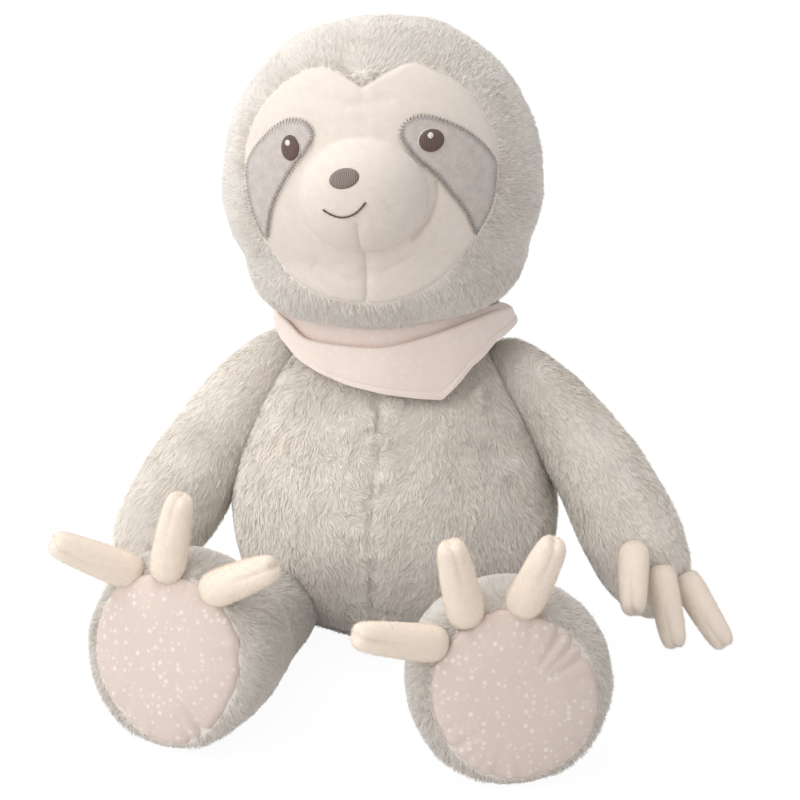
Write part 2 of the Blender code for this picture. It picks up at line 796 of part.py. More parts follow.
def make_leg(bench, side, hip, claw_pockets):
    sole, forward, inward, upward = leg_frame(side)
    turn = Matrix((-SIDE_SIGNS[side] * inward, upward, forward)).transposed()

    def sole_shape(name, inset):
        """A rod through the foot's front, from a little behind the sole."""
        radii = (SOLE_HALF_WIDTH - inset, SOLE_HALF_HEIGHT - inset)
        made = bench.add(name, rod_mesh(name, radii, SOLE_REACH + OVERRUN), parent=hip)
        made.location = sole - forward * SOLE_REACH
        made.rotation_euler = turn.to_euler()
        return made

    skin = leg_solid(bench, f"{side}_leg_skin", 0.0, side, hip, "pile")
    inside = leg_solid(bench, f"{side}_leg_inside", WALL, side, hip)
    opening = sole_shape(f"{side}_sole_opening", 0.0)
    cut(skin, inside, opening, *claw_pockets, solver=LIMB_SOLVER)
    piece = leg_solid(bench, f"{side}_sole", 0.0, side, hip, "cotton")
    keep_inside(piece, sole_shape(f"{side}_sole_shape", SEAM_GAP), solver=LIMB_SOLVER)
    cut(piece, inside, *claw_pockets, solver=LIMB_SOLVER)
    filling = leg_solid(bench, f"{side}_leg_filling", WALL + GAP, side, hip, "fibre")
    cut(filling, *claw_pockets, solver=LIMB_SOLVER)


def claw_mesh(name, scale):
    """A claw along Z whose rounded root turns about the origin in its pocket."""
    length = CLAW_LENGTH * scale
    half_width = CLAW_HALF_WIDTH * scale
    rings = []
    for along, width in claw_ring_shares:
        centre = Vector((0.0, CLAW_BEND_SHARE * length * along**2, along * length))
        across = Vector((width * half_width, 0.0, 0.0))
        over = Vector((0.0, width * half_width * CLAW_THICKNESS_SHARE, 0.0))
        rings.append((centre, across, over))
    ends = (
        Vector((0.0, 0.0, -CLAW_ROOT_DEPTH * scale)),
        Vector((0.0, CLAW_BEND_SHARE * length, length)),
    )
    return ring_cage(name, rings, ends, CLAW_SIDES)


def make_claw(bench, name, limb, place, along, reference, scale):
    """A claw that lies this way from its place and swings towards the reference.

    Its pocket is returned.
    """
    along = along.normalized()
    hinge = along.cross(reference).normalized()
    claw = bench.add(name, claw_mesh(name, scale), "velour", limb)
    claw.location = place - limb.location
    claw.rotation_euler = Matrix((hinge, along.cross(hinge), along)).transposed().to_euler()
    soften(claw)
    facets = (CLAW_BALL_SEGMENTS, CLAW_BALL_RINGS)
    socket = pocket(bench, f"{name}_pocket", CLAW_ROOT_RADIUS * scale, limb, facets)
    socket.location = claw.location
    return socket


def make_claws(bench, name, limb, guide, origin, frame, shares, reference, scale):
    """Claws on the guide's surface, where their aims from the origin meet it."""
    surface = surface_of(guide)
    sockets = []
    for index, (aim, along) in enumerate(shares):
        hit, normal, _, _ = surface.ray_cast(origin, frame @ Vector(aim).normalized())
        place = hit + normal * CLAW_STAND_OFF
        claw_name = f"{name}_{index + 1}"
        sockets.append(
            make_claw(bench, claw_name, limb, place, frame @ Vector(along), reference, scale)
        )
    return sockets


def make_hand_claws(bench, side, shoulder):
    frame = Matrix.Diagonal((SIDE_SIGNS[side], 1.0, 1.0))
    guide = arm_form(bench, f"{side}_arm_guide", 0.0, side, shoulder)
    palm = frame @ Vector(arm_spine_shares[side][HAND_RING]) * ARM_LENGTH
    return make_claws(
        bench,
        f"{side}_hand_claw",
        shoulder,
        guide,
        shoulder.location + palm,
        frame,
        hand_claw_shares[side],
        Vector((0.0, -1.0, 0.0)),
        HAND_CLAW_SCALE_SHARE,
    )


def make_toe_claws(bench, side, hip):
    sole, forward, inward, upward = leg_frame(side)
    guide = leg_form(bench, f"{side}_leg_guide", 0.0, side, hip)
    return make_claws(
        bench,
        f"{side}_toe_claw",
        hip,
        guide,
        hip.location + sole - forward * TOE_BACK,
        Matrix((inward, upward, forward)).transposed(),
        toe_claw_shares[side],
        forward,
        1.0,
    )


def bandana_shares_at(turn_deg):
    """The bandana's heights, reaches and fold at this turn from the front."""
    for index in range(1, len(BANDANA_TURNS_DEG)):
        low, high = BANDANA_TURNS_DEG[index - 1 : index + 1]
        if turn_deg <= high:
            break
    mix = (turn_deg - low) / (high - low)
    before, after = bandana_shares[index - 1 : index + 1]
    return [a + (b - a) * mix for a, b in zip(before, after)]


def bandana_profile(turn_deg):
    """(reach, extra reach in metres, height) from the lower edge, over the fold, to the neck edge."""
    low, crest, high, reach_low, reach_crest, fold = bandana_shares_at(turn_deg)
    low, crest, high = (TORSO_HEIGHT + (share - 1.0) * BANDANA_HEIGHT for share in (low, crest, high))
    plain = crest + (high - crest) / 2
    valley = plain * (1.0 - fold) + crest * fold
    return (
        (reach_low, 0.0, low),
        ((reach_low + reach_crest) / 2, 0.0, (low + crest) / 2),
        (reach_crest, 0.0, crest),
        (reach_crest, -fold * FOLD_DEPTH / 2, valley - fold * FOLD_DROP),
        (reach_crest, -fold * FOLD_DEPTH, high),
    )


def lay_on(place, surfaces):
    """The place, moved out where it would lie on or in one of the surfaces."""
    for surface in surfaces:
        found, normal, _, _ = surface.find_nearest(place)
        short = BANDANA_LIFT - (place - found).dot(normal)
        if short > 0.0:
            place = place + normal * short
    return place


def make_bandana(bench, surfaces):
    half_width = shoulder_place_shares[0] * TORSO_HALF_WIDTH + BANDANA_SPREAD
    shape = bmesh.new()
    columns = []
    for step in range(BANDANA_STEPS):
        turn_deg = 360.0 * step / BANDANA_STEPS - 180.0
        turn = math.radians(turn_deg)
        column = []
        for reach, extra, height in bandana_profile(turn_deg):
            out = Vector((math.sin(turn), -math.cos(turn), 0.0))
            place = Vector(
                (reach * half_width * out.x, reach * BANDANA_HALF_DEPTH * out.y, height)
            )
            column.append(shape.verts.new(lay_on(place + out * extra, surfaces)))
        columns.append(column)
    for left, right in zip(columns, columns[1:] + columns[:1]):
        for row in range(len(left) - 1):
            shape.faces.new((left[row], right[row], right[row + 1], left[row + 1]))
    made = bench.add("bandana", mesh_from("bandana", shape), "cotton")
    soften(made)
    thick = made.modifiers.new("Thick", "SOLIDIFY")
    thick.thickness = BANDANA_THICKNESS
    thick.offset = 1.0


def main():
    clear_scene()
    bench = Workbench()
    tilt = tuple(math.radians(turn) for turn in (HEAD_PITCH_DEG, HEAD_ROLL_DEG, HEAD_YAW_DEG))
    pivots = {
        "neck": bench.pivot("neck_turn", neck_place()),
        "head": bench.pivot("neck_nod", neck_place(), turn=tilt),
    }
    for side in SIDE_SIGNS:
        place = side_place(shoulder_place_shares, TORSO_HEIGHT - SHOULDER_DROP, side)
        pivots[f"{side}_shoulder"] = bench.pivot(f"{side}_shoulder", place)
        place = side_place(hip_place_shares, HIP_HEIGHT, side)
        pivots[f"{side}_hip"] = bench.pivot(f"{side}_hip", place)

    make_torso(bench, pivots)
    make_neck(bench, pivots)
    make_head(bench, pivots)
    for side in SIDE_SIGNS:
        shoulder, hip = pivots[f"{side}_shoulder"], pivots[f"{side}_hip"]
        make_arm(bench, side, shoulder, make_hand_claws(bench, side, shoulder))
        make_leg(bench, side, hip, make_toe_claws(bench, side, hip))

    under = [torso_form(bench, "bandana_bed", 0.0)]
    for side in SIDE_SIGNS:
        under += [bpy.data.objects[f"{side}_arm_{piece}"] for piece in ("guide", "skin_ball")]
    make_bandana(bench, [surface_of(piece) for piece in under])


main()
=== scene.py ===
"""A seated plush sloth, dressed in combed pile, velour, embroidery and dotted cotton."""

import json
import math

import bmesh
import bpy
import numpy as np
from mathutils import Euler, Matrix, Vector, noise
from mathutils.bvhtree import BVHTree
from mathutils.geometry import delaunay_2d_cdt


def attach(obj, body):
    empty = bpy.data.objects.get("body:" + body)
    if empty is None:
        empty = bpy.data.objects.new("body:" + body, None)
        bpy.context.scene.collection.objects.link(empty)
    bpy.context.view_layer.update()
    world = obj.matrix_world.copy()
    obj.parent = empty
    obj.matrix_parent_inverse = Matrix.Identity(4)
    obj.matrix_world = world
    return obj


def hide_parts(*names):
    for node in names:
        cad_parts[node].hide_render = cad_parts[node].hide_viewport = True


bl_info = {
    "name": "Plush Sloth",
    "version": (1, 0, 0),
    "blender": (4, 5, 0),
    "location": "3D View > Sidebar > Plush Sloth",
    "description": "Dresses the jointed plush sloth in pile, velour, cotton and thread",
    "category": "Object",
}

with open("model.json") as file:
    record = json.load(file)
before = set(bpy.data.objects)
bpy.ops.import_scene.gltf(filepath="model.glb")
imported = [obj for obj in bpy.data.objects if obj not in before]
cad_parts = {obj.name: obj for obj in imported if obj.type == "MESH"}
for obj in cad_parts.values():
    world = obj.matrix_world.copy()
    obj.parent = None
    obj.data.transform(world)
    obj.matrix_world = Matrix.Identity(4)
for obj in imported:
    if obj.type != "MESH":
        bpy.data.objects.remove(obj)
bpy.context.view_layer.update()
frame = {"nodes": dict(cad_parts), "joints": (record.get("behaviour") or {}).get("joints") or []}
PLACES = {joint["name"]: Vector(joint["pos_m"]) for joint in frame["joints"]}
SIDE_SIGNS = {"left": 1, "right": -1}

# Shares of the named sizes, from the lower end up.
# Torso: height, half width, half depth and how far the ring lies forward
TORSO_RING_SHARES = (
    (0.000, 0.56, 0.54, -0.06), (0.070, 0.86, 0.84, -0.07), (0.250, 0.99, 0.99, -0.10),
    (0.470, 1.00, 1.01, -0.10), (0.700, 0.84, 0.84, -0.06), (0.880, 0.63, 0.60, -0.01),
    (0.965, 0.38, 0.38, 0.00),
)
# Head: height below or above its widest ring, half width and half depth
HEAD_RING_SHARES = (
    (-0.93, 0.42, 0.42), (-0.70, 0.76, 0.76), (-0.36, 0.96, 0.95), (0.02, 1.01, 1.01),
    (0.34, 0.95, 0.96), (0.66, 0.79, 0.80), (0.90, 0.48, 0.48),
)
# Outlines on the face: across as shares of its half width, and up from its lower end
FACE_OUTLINE_SHARES = (
    (0.03, 0.910), (0.22, 0.960), (0.43, 0.982), (0.73, 0.890), (0.93, 0.750), (1.02, 0.600),
    (1.01, 0.450), (0.94, 0.335), (0.78, 0.215), (0.55, 0.095), (0.26, 0.015), (-0.05, 0.000),
    (-0.36, 0.030), (-0.63, 0.110), (-0.83, 0.250), (-0.95, 0.410), (-0.98, 0.560), (-0.96, 0.690),
    (-0.86, 0.810), (-0.62, 0.930), (-0.38, 0.985), (-0.15, 0.965),
)
PATCH_OUTLINE_SHARES = {
    "left": (
        (0.31, 0.700), (0.35, 0.755), (0.46, 0.775), (0.60, 0.755), (0.79, 0.695), (0.95, 0.600),
        (1.015, 0.490), (0.965, 0.370), (0.84, 0.250), (0.75, 0.370), (0.66, 0.450), (0.55, 0.535),
        (0.41, 0.615),
    ),
    "right": (
        (0.35, 0.715), (0.39, 0.765), (0.49, 0.785), (0.61, 0.775), (0.76, 0.720), (0.91, 0.630),
        (0.965, 0.520), (0.935, 0.405), (0.82, 0.290), (0.73, 0.420), (0.65, 0.500), (0.53, 0.590),
        (0.42, 0.655),
    ),
}
# Arms: out, back and up as shares of the arm's length, from the shoulder
ARM_SPINE_SHARES = {
    "left": (
        (0.020, 0.000, -0.010), (0.200, -0.035, -0.180), (0.380, -0.100, -0.420),
        (0.495, -0.155, -0.640), (0.575, -0.185, -0.785),
    ),
    "right": (
        (0.020, 0.000, -0.010), (0.155, -0.040, -0.180), (0.300, -0.105, -0.420),
        (0.430, -0.155, -0.640), (0.520, -0.185, -0.785),
    ),
}
ARM_HALF_WIDTH_SHARES = (0.58, 0.79, 0.96, 1.00, 0.66)
ARM_END_SHARES = {
    "left": ((-0.09, 0.014, 0.09), (0.615, -0.200, -0.850)),
    "right": ((-0.09, 0.014, 0.09), (0.555, -0.200, -0.850)),
}
# Legs: way along from hip to sole, half width and half height
LEG_RING_SHARES = (
    (0.08, 0.42, 0.42), (0.30, 0.52, 0.52), (0.50, 0.62, 0.60), (0.66, 0.86, 0.84),
    (0.80, 1.00, 1.00), (0.93, 1.00, 1.00), (0.985, 0.84, 0.84),
)
LEG_END_SHARES = (-0.02, 1.005)
# Claws: way along, and half width
CLAW_RING_SHARES = (
    (-0.185, 0.90), (-0.11, 1.03), (0.08, 1.09), (0.42, 1.01), (0.74, 0.92), (0.95, 0.77),
)
# Bandana, at each turn from the front: heights of its low edge, crest and high edge, reaches
# of its low edge and crest, and how deep the cloth is folded in
BANDANA_TURNS_DEG = (-180, -135, -100, -75, -55, -40, -15, 3, 29, 45, 62, 85, 120, 180)
BANDANA_SHARES = (
    (0.985, 1.010, 1.035, 1.00, 1.00, 0.0), (0.980, 1.005, 1.030, 1.00, 1.00, 0.0),
    (0.967, 1.005, 1.025, 1.00, 1.02, 0.0), (0.976, 1.010, 1.030, 1.03, 1.03, 0.2),
    (0.945, 1.010, 1.035, 1.04, 1.03, 0.7), (0.910, 0.985, 1.040, 1.04, 1.02, 1.0),
    (0.873, 0.990, 1.045, 1.06, 1.02, 1.0), (0.855, 1.000, 1.050, 1.07, 1.03, 1.0),
    (0.830, 1.040, 1.068, 1.07, 1.02, 0.8), (0.920, 1.060, 1.084, 1.04, 1.01, 0.4),
    (0.980, 1.060, 1.075, 1.03, 1.00, 0.1), (1.000, 1.040, 1.055, 1.03, 0.99, 0.0),
    (0.990, 1.015, 1.035, 1.02, 1.00, 0.0), (0.985, 1.010, 1.035, 1.00, 1.00, 0.0),
)

# Soles: turns in degrees from the foot's inner side over its top, and shares of the plain oval
SOLE_OUTLINE_SHARES = {
    "left": (
        (0, 0.99), (20, 1.01), (45, 0.98), (65, 0.99), (90, 1.01), (110, 0.95), (130, 0.96),
        (150, 0.96), (180, 1.00), (205, 1.03), (223, 1.03), (243, 1.00), (270, 0.99), (290, 0.98),
        (308, 0.95), (335, 0.94),
    ),
    "right": (
        (0, 1.00), (24, 1.04), (45, 1.01), (65, 1.04), (90, 0.99), (110, 1.02), (128, 1.09),
        (150, 1.06), (180, 1.00), (205, 0.96), (235, 0.92), (262, 0.98), (290, 1.02), (305, 0.98),
        (330, 0.96),
    ),
}
# Pulls that run in from the sole's seam: turn, width in degrees, depth and length in millimetres
SOLE_PULLS = {
    "left": (
        (152, 2.6, 1.5, 15), (141, 2.4, 1.4, 13), (128, 3.0, 1.6, 14), (106, 3.0, 1.0, 9),
        (60, 3.0, 0.8, 8), (215, 4.0, 0.8, 9), (284, 3.5, 0.9, 9), (320, 3.0, 0.9, 9), (5, 3.0, 0.7, 7),
    ),
    "right": (
        (62, 3.0, 0.8, 8), (100, 3.0, 0.7, 8), (150, 3.5, 0.8, 8), (308, 2.6, 1.6, 12),
        (296, 2.4, 1.0, 8), (235, 4.0, 0.8, 9), (12, 3.0, 0.7, 8), (342, 3.0, 0.7, 8),
    ),
}

# How far the plush backing reaches in under the face and the soles, in metres
SEAM_OVERLAP = 0.0035
# How far the backing stays off the floor, in metres
FLOOR_CLEARANCE = 0.0005
# Any fixed number above 0, so that the ruffled nap is the same each time
RUFFLE_SEED = 5
# How far the claw's tip bends back, as a share of its length
CLAW_BEND = 0.06
# Where the camera looks, and where the lamps aim
CAMERA_TARGET = (0.0086, -0.040, 0.132)
LAMP_TARGET = (0.0, -0.03, 0.14)
# Distance in metres over which a hand strokes the nap one way, and so the size of the painted lighter
# and darker patches
PATCH_SIZE = 0.020
# Broad swirls in the nap, and how far they turn it
SWIRLS_PER_METRE = 45.0
SWIRL_AMOUNT = 1.1
# The sine of the lowest angle at which a strand leaves the cloth
LOWEST_RISE = 0.24
# How much of its width a strand loses towards its tip
STRAND_TAPER = 0.72

CLAW_NAMES = [
    f"{side}_{kind}_claw_{index}"
    for side in SIDE_SIGNS
    for kind in ("hand", "toe")
    for index in (1, 2, 3)
]


def length(name, default, description):
    """A length in metres that a user may change."""
    return bpy.props.FloatProperty(
        name=name, default=default, description=description, unit="LENGTH", precision=5
    )


def share(name, default, description):
    """A plain number that a user may change."""
    return bpy.props.FloatProperty(name=name, default=default, description=description)


def colour(name, default, description):
    """A colour written as an sRGB hex value."""
    return bpy.props.StringProperty(name=name, default=default, description=description)


class SlothBodySizes(bpy.types.PropertyGroup):
    """Sizes of the stuffed forms."""

    torso_height: length("Torso height", 0.165, "From the seat to the top of the neck")
    torso_half_width: length("Torso half width", 0.088, "At the widest ring")
    torso_half_depth: length("Torso half depth", 0.076, "At the widest ring")
    head_half_width: length("Head half width", 0.0825, "At the widest ring")
    head_half_depth: length("Head half depth", 0.073, "At the widest ring")
    head_below: length("Head below", 0.065, "From its widest ring down to the neck")
    head_above: length("Head above", 0.087, "From its widest ring up to the crown")
    head_forward: length("Head forward", 0.018, "How far it stands in front of the neck")
    head_pitch: share("Head pitch", -8.0, "Nod of the head, in degrees")
    head_roll: share("Head roll", -5.0, "Tilt of the head to one side, in degrees")
    head_yaw: share("Head yaw", 3.0, "Turn of the head, in degrees")
    arm_length: length("Arm length", 0.150, "From the shoulder to the fingertips' line")
    arm_half_width: length("Arm half width", 0.0275, "At the thickest part of the forearm")
    left_leg_length: length("Left leg length", 0.164, "From the hip to the sole")
    right_leg_length: length("Right leg length", 0.155, "From the hip to the sole")
    left_leg_splay: share("Left leg splay", 15.5, "Angle out from straight ahead, in degrees")
    right_leg_splay: share("Right leg splay", 14.0, "Angle out from straight ahead, in degrees")
    foot_splay: share("Foot splay", 17.0, "Turn of the sole, in degrees")
    foot_tilt: share("Foot tilt", 12.0, "Lean of the sole, in degrees")
    foot_half_width: length("Foot half width", 0.0505, "Of the drum-shaped foot")
    foot_half_height: length("Foot half height", 0.0475, "Of the drum-shaped foot")
    claw_length: length("Claw length", 0.040, "From the pivot to the tip")
    claw_half_width: length("Claw half width", 0.0086, "At the root")
    hand_claw_scale: share("Hand claw scale", 0.90, "Size of a hand claw against a toe claw")


class SlothPileSizes(bpy.types.PropertyGroup):
    """Length, lay and colour of the pile."""

    strand_length: length("Strand length", 0.0032, "Root to tip")
    strand_width: length("Strand width", 0.00042, "At the root")
    lean: share("Lean", 68.0, "How far the nap is laid down, in degrees")
    density: share("Density", 2.55, "Strands on a square millimetre")
    tuft_size: length("Tuft size", 0.0024, "Distance over which strands lean together")
    tuft_amount: share("Tuft amount", 0.42, "How much tufts lean apart")
    inset: length("Backing inset", 0.0016, "How far the backing cloth lies below the pile's surface")
    tip_colour: colour("Tip colour", "#fff9f1", "Warm light grey at the tips")
    # Painted shade: the roots, and the backing between them, are darker, as shade falls among the
    # strands
    root_shade_colour: colour("Root colour", "#f6eee6", "A little darker near the backing")
    # Painted shade: the hood and neck, and the legs, take darker copies of the pile
    hood_shade_colour: colour("Hood colour", "#ece6df", "The hood's nap lies the other way, and is darker")
    leg_shade_colour: colour("Leg colour", "#e1dbd4", "The legs' nap lies away from the light")
    seed: bpy.props.IntProperty(name="Seed", default=7, description="Start of the random lay")


class SlothFaceSizes(bpy.types.PropertyGroup):
    """The velour face and its embroidery."""

    top: length("Face top", 0.131, "Upper end of the panel, above the neck")
    bottom: length("Face bottom", 0.0145, "Lower end of the panel, above the neck")
    half_width: length("Face half width", 0.0625, "Of the panel")
    spacing: length("Cloth spacing", 0.0009, "Fineness of the face's mesh")
    muzzle_half_width: length("Muzzle half width", 0.031, "Of the swelling")
    muzzle_half_height: length("Muzzle half height", 0.027, "Of the swelling")
    muzzle_reach: length("Muzzle reach", 0.0160, "How far it stands out")
    muzzle_half_depth: length("Muzzle half depth", 0.024, "Roundness of the swelling")
    muzzle_height: length("Muzzle height", 0.069, "Above the neck")
    eye_out: length("Eye distance", 0.0333, "From the middle of the face")
    eye_height: length("Eye height", 0.0925, "Above the neck")
    eye_half_width: length("Eye half width", 0.0050, "Of the embroidered oval")
    eye_half_height: length("Eye half height", 0.0058, "Of the embroidered oval")
    nose_aside: length("Nose aside", -0.0052, "From the middle of the face")
    nose_height: length("Nose height", 0.0800, "Above the neck")
    nose_half_width: length("Nose half width", 0.0073, "Of the embroidered oval")
    nose_half_height: length("Nose half height", 0.0046, "Of the embroidered oval")
    mouth_half_width: length("Mouth half width", 0.0106, "Of the smile")
    mouth_sag: length("Mouth sag", 0.0052, "Depth of the smile")
    mouth_height: length("Mouth height", 0.0622, "Above the neck")
    mouth_thread: length("Mouth thread", 0.00052, "Radius of the stitched line")
    velour_colour: colour("Velour colour", "#ebdfd5", "Warm cream")
    claw_colour: colour("Claw colour", "#fff3e6", "Warm cream of the claws")
    patch_colour: colour("Patch colour", "#d3c9c2", "Warm grey")
    stitch_colour: colour("Stitch colour", "#dcd5cf", "Grey edging thread")
    eye_colour: colour("Eye colour", "#705a54", "Dark brown thread")
    nose_colour: colour("Nose colour", "#9c8d86", "Taupe thread")
    glint_colour: colour("Glint colour", "#fbf9f5", "White thread")


class SlothClothSizes(bpy.types.PropertyGroup):
    """The cotton soles and bandana."""

    sole_half_width: length("Sole half width", 0.0394, "Of the cotton oval")
    sole_half_height: length("Sole half height", 0.0410, "Of the cotton oval")
    bandana_spread: length("Bandana spread", 0.00324, "How far it stands out past the shoulders")
    bandana_half_depth: length("Bandana half depth", 0.052, "Of the loop round the neck")
    bandana_height: length("Bandana height", 0.165, "What its height shares follow")
    bandana_thickness: length("Bandana thickness", 0.0009, "Two layers of cotton")
    dot_spacing: length("Dot spacing", 0.0031, "Between neighbouring printed dots")
    cotton_colour: colour("Cotton colour", "#e3d2c9", "Dusty pink beige")
    # Painted light: a lighter copy of the soles' cotton, for the bandana in the head's shadow
    bandana_lit_colour: colour("Bandana colour", "#feede4", "Dusty pink beige, a lighter batch")
    dot_colour: colour("Dot colour", "#fdf8f4", "Printed white")


class SlothStageSizes(bpy.types.PropertyGroup):
    """Camera, floor and lamps."""

    azimuth: share("Azimuth", 10.0, "Turn of the camera round the toy, in degrees")
    elevation: share("Elevation", 21.0, "Height of the camera over the toy, in degrees")
    distance: length("Distance", 1.300, "From the camera to the toy")
    lens: share("Lens", 117.0, "Focal length in millimetres")
    key_power: share("Key power", 17.5, "Watts of the large lamp at the left")
    fill_power: share("Fill power", 1.3, "Watts of the large lamp at the right")
    world_strength: share("World strength", 0.53, "Even light from all round")


# Curves


def ramp(values):
    """The values, held between 0 and 1."""
    return np.clip(values, 0.0, 1.0)


def eased(values):
    """A ramp that starts and ends softly."""
    held = ramp(values)
    return held**2 * (3.0 - 2.0 * held)


def bell(distance, width):
    """1 on a line, falling to 0 away from it."""
    return np.exp(-((distance / width) ** 2))


def curve_point(a, b, c, d, t):
    """The point between b and c, at t from 0 to 1, of a smooth curve through all four."""
    return 0.5 * (
        2.0 * b
        + (c - a) * t
        + (2.0 * a - 5.0 * b + 4.0 * c - d) * t**2
        + (3.0 * b - a - 3.0 * c + d) * t**3
    )


# Materials


def linear(hex_text):
    """Linear red, green, blue and alpha of an sRGB hex colour."""
    parts = [int(hex_text[i : i + 2], 16) / 255.0 for i in (1, 3, 5)]
    return tuple(p / 12.92 if p <= 0.04045 else ((p + 0.055) / 1.055) ** 2.4 for p in parts) + (1.0,)


def add_node(tree, kind, inputs=(), output=None, **settings):
    """Adds a node: settings are its own, and inputs are values or sockets in order or by name.

    It gives the node, or the output that is named.
    """
    made = tree.nodes.new(kind)
    for key, value in settings.items():
        setattr(made, key, value)
    for key, value in inputs.items() if isinstance(inputs, dict) else enumerate(inputs):
        if isinstance(value, bpy.types.NodeSocket):
            tree.links.new(value, made.inputs[key])
        else:
            made.inputs[key].default_value = value
    return made if output is None else made.outputs[output]


def darker(colour_text, share):
    """This share of a colour's light, as linear red, green, blue and alpha."""
    return tuple(share * part for part in linear(colour_text)[:3]) + (1.0,)


def new_material(name, roughness, sheen, sheen_roughness=0.5):
    """An empty cloth material: its tree and its shader."""
    made = bpy.data.materials.new(name)
    made.use_nodes = True
    shader = made.node_tree.nodes["Principled BSDF"]
    for label, value in (
        ("Roughness", roughness),
        ("Sheen Weight", sheen),
        ("Sheen Roughness", sheen_roughness),
        ("Specular IOR Level", 0.2),
    ):
        shader.inputs[label].default_value = value
    return made, made.node_tree, shader


def object_place(tree, size):
    """Object coordinates in units of this many metres."""
    place = add_node(tree, "ShaderNodeTexCoord", output="Object")
    return add_node(tree, "ShaderNodeMapping", {"Vector": place, "Scale": (1.0 / size,) * 3}, "Vector")


def pile_material(name, tip, root):
    """Long polyester plush, combed flat, whose tips catch the light: painted lighter at its tips and
    painted darker at its roots, where shade falls near the backing.

    The hood and the legs take darker copies of the pile, as painted shade, with one colour from root to
    tip.
    Each strand's map holds its tone, with the painted shade between tufts, across and its root to tip
    along.
    """
    made, tree, shader = new_material(name, 0.85, 0.25)
    strand = add_node(tree, "ShaderNodeUVMap", output="UV", uv_map="OFBake")
    parts = add_node(tree, "ShaderNodeSeparateXYZ", {"Vector": strand})
    # Painted shade: each strand darkens from its tip to its root, where shade falls near the backing
    rise = add_node(
        tree, "ShaderNodeMapRange", {"Value": parts.outputs["Y"], "From Min": 0.0, "From Max": 0.75},
        "Result", interpolation_type="SMOOTHSTEP",
    )
    body = add_node(
        tree, "ShaderNodeMix", {0: rise, 6: linear(root), 7: linear(tip)}, 2, data_type="RGBA"
    )
    # Strands differ in tone at random, and the hollows between tufts are painted darker, where shade
    # falls
    tone = add_node(
        tree, "ShaderNodeMapRange", {"Value": parts.outputs["X"], "To Min": 0.92, "To Max": 1.07},
        "Result",
    )
    # Broad patches of the nap, stroked this way and that and about 20 mm across, are painted lighter or
    # darker as they catch more or less light
    stroked = add_node(
        tree, "ShaderNodeTexNoise",
        {"Vector": object_place(tree, PATCH_SIZE), "Scale": 1.0, "Detail": 2.0}, "Fac",
    )
    lay_light_and_shade = add_node(
        tree, "ShaderNodeMapRange",
        {"Value": stroked, "From Min": 0.35, "From Max": 0.65, "To Min": 0.96, "To Max": 1.03},
        "Result",
    )
    both = add_node(tree, "ShaderNodeMath", (tone, lay_light_and_shade), "Value", operation="MULTIPLY")
    varied = add_node(tree, "ShaderNodeVectorMath", (body, both), "Vector", operation="MULTIPLY")
    tree.links.new(varied, shader.inputs["Base Color"])
    return made


def tangled_material(name, colour_text, size, detail, dark_share, sheen, roughness):
    """A cloth or fibre whose tone goes by a noise of this size, as yarn that crosses yarn."""
    made, tree, shader = new_material(name, roughness, sheen)
    tangle = add_node(
        tree, "ShaderNodeTexNoise",
        {"Vector": object_place(tree, size), "Scale": 1.0, "Detail": detail}, "Fac",
    )
    ends = {0: tangle, 6: darker(colour_text, dark_share), 7: linear(colour_text)}
    body = add_node(tree, "ShaderNodeMix", ends, 2, data_type="RGBA")
    tree.links.new(body, shader.inputs["Base Color"])
    return made


def backing_material(name, colour_text):
    """Knitted backing of the plush, with stitches 1.2 mm wide, which shows only between the roots."""
    return tangled_material(name, colour_text, 0.0012, 2.0, 0.8, 0.0, 0.95)


def fibre_material(name, colour_text):
    """Polyester stuffing fibre, loose and matt white, in clumps of 3 mm."""
    return tangled_material(name, colour_text, 0.003, 4.0, 0.85, 0.2, 1.0)


def velour_material(name, colour_text, mottle=0.05):
    """Velour: a knitted loop cloth sheared to a fine upright nap, so it is matt with a soft rim.

    The nap is about 0.3 mm, drawn at 0.6 mm so that it shows, with clouds of 4 mm.
    """
    made, tree, shader = new_material(name, 0.92, 0.35, 0.4)
    nap, cloud = (
        add_node(
            tree, "ShaderNodeTexNoise",
            {"Vector": object_place(tree, size), "Scale": 1.0, "Detail": detail}, "Fac",
        )
        for size, detail in ((0.0006, 2.0), (0.004, 3.0))
    )
    both = add_node(tree, "ShaderNodeMath", (nap, cloud), "Value", operation="ADD")
    spread = add_node(
        tree, "ShaderNodeMapRange", {"Value": both, "From Min": 0.6, "From Max": 1.3}, "Result"
    )
    ends = {0: spread, 6: darker(colour_text, 1.0 - 2.0 * mottle), 7: linear(colour_text)}
    body = add_node(tree, "ShaderNodeMix", ends, 2, data_type="RGBA")
    # Painted shade where the velour rolls in at its seams and folds
    paint_tuck_shade_and_bump(tree, shader, body, darker(colour_text, 0.52), both, 0.0004, 0.35)
    return made


def paint_tuck_shade_and_bump(tree, shader, body, shade, height, distance, strength):
    """Paints in the seam's shade where the cloth rolls under, and draws the relief of its nap or weave.
    """
    tuck_shade = add_node(tree, "ShaderNodeAttribute", output="Fac", attribute_name="tuck_shade")
    shaded = add_node(tree, "ShaderNodeMix", {0: tuck_shade, 6: body, 7: shade}, 2, data_type="RGBA")
    relief = {"Height": height, "Distance": distance, "Strength": strength}
    tree.links.new(shaded, shader.inputs["Base Color"])
    tree.links.new(add_node(tree, "ShaderNodeBump", relief, "Normal"), shader.inputs["Normal"])


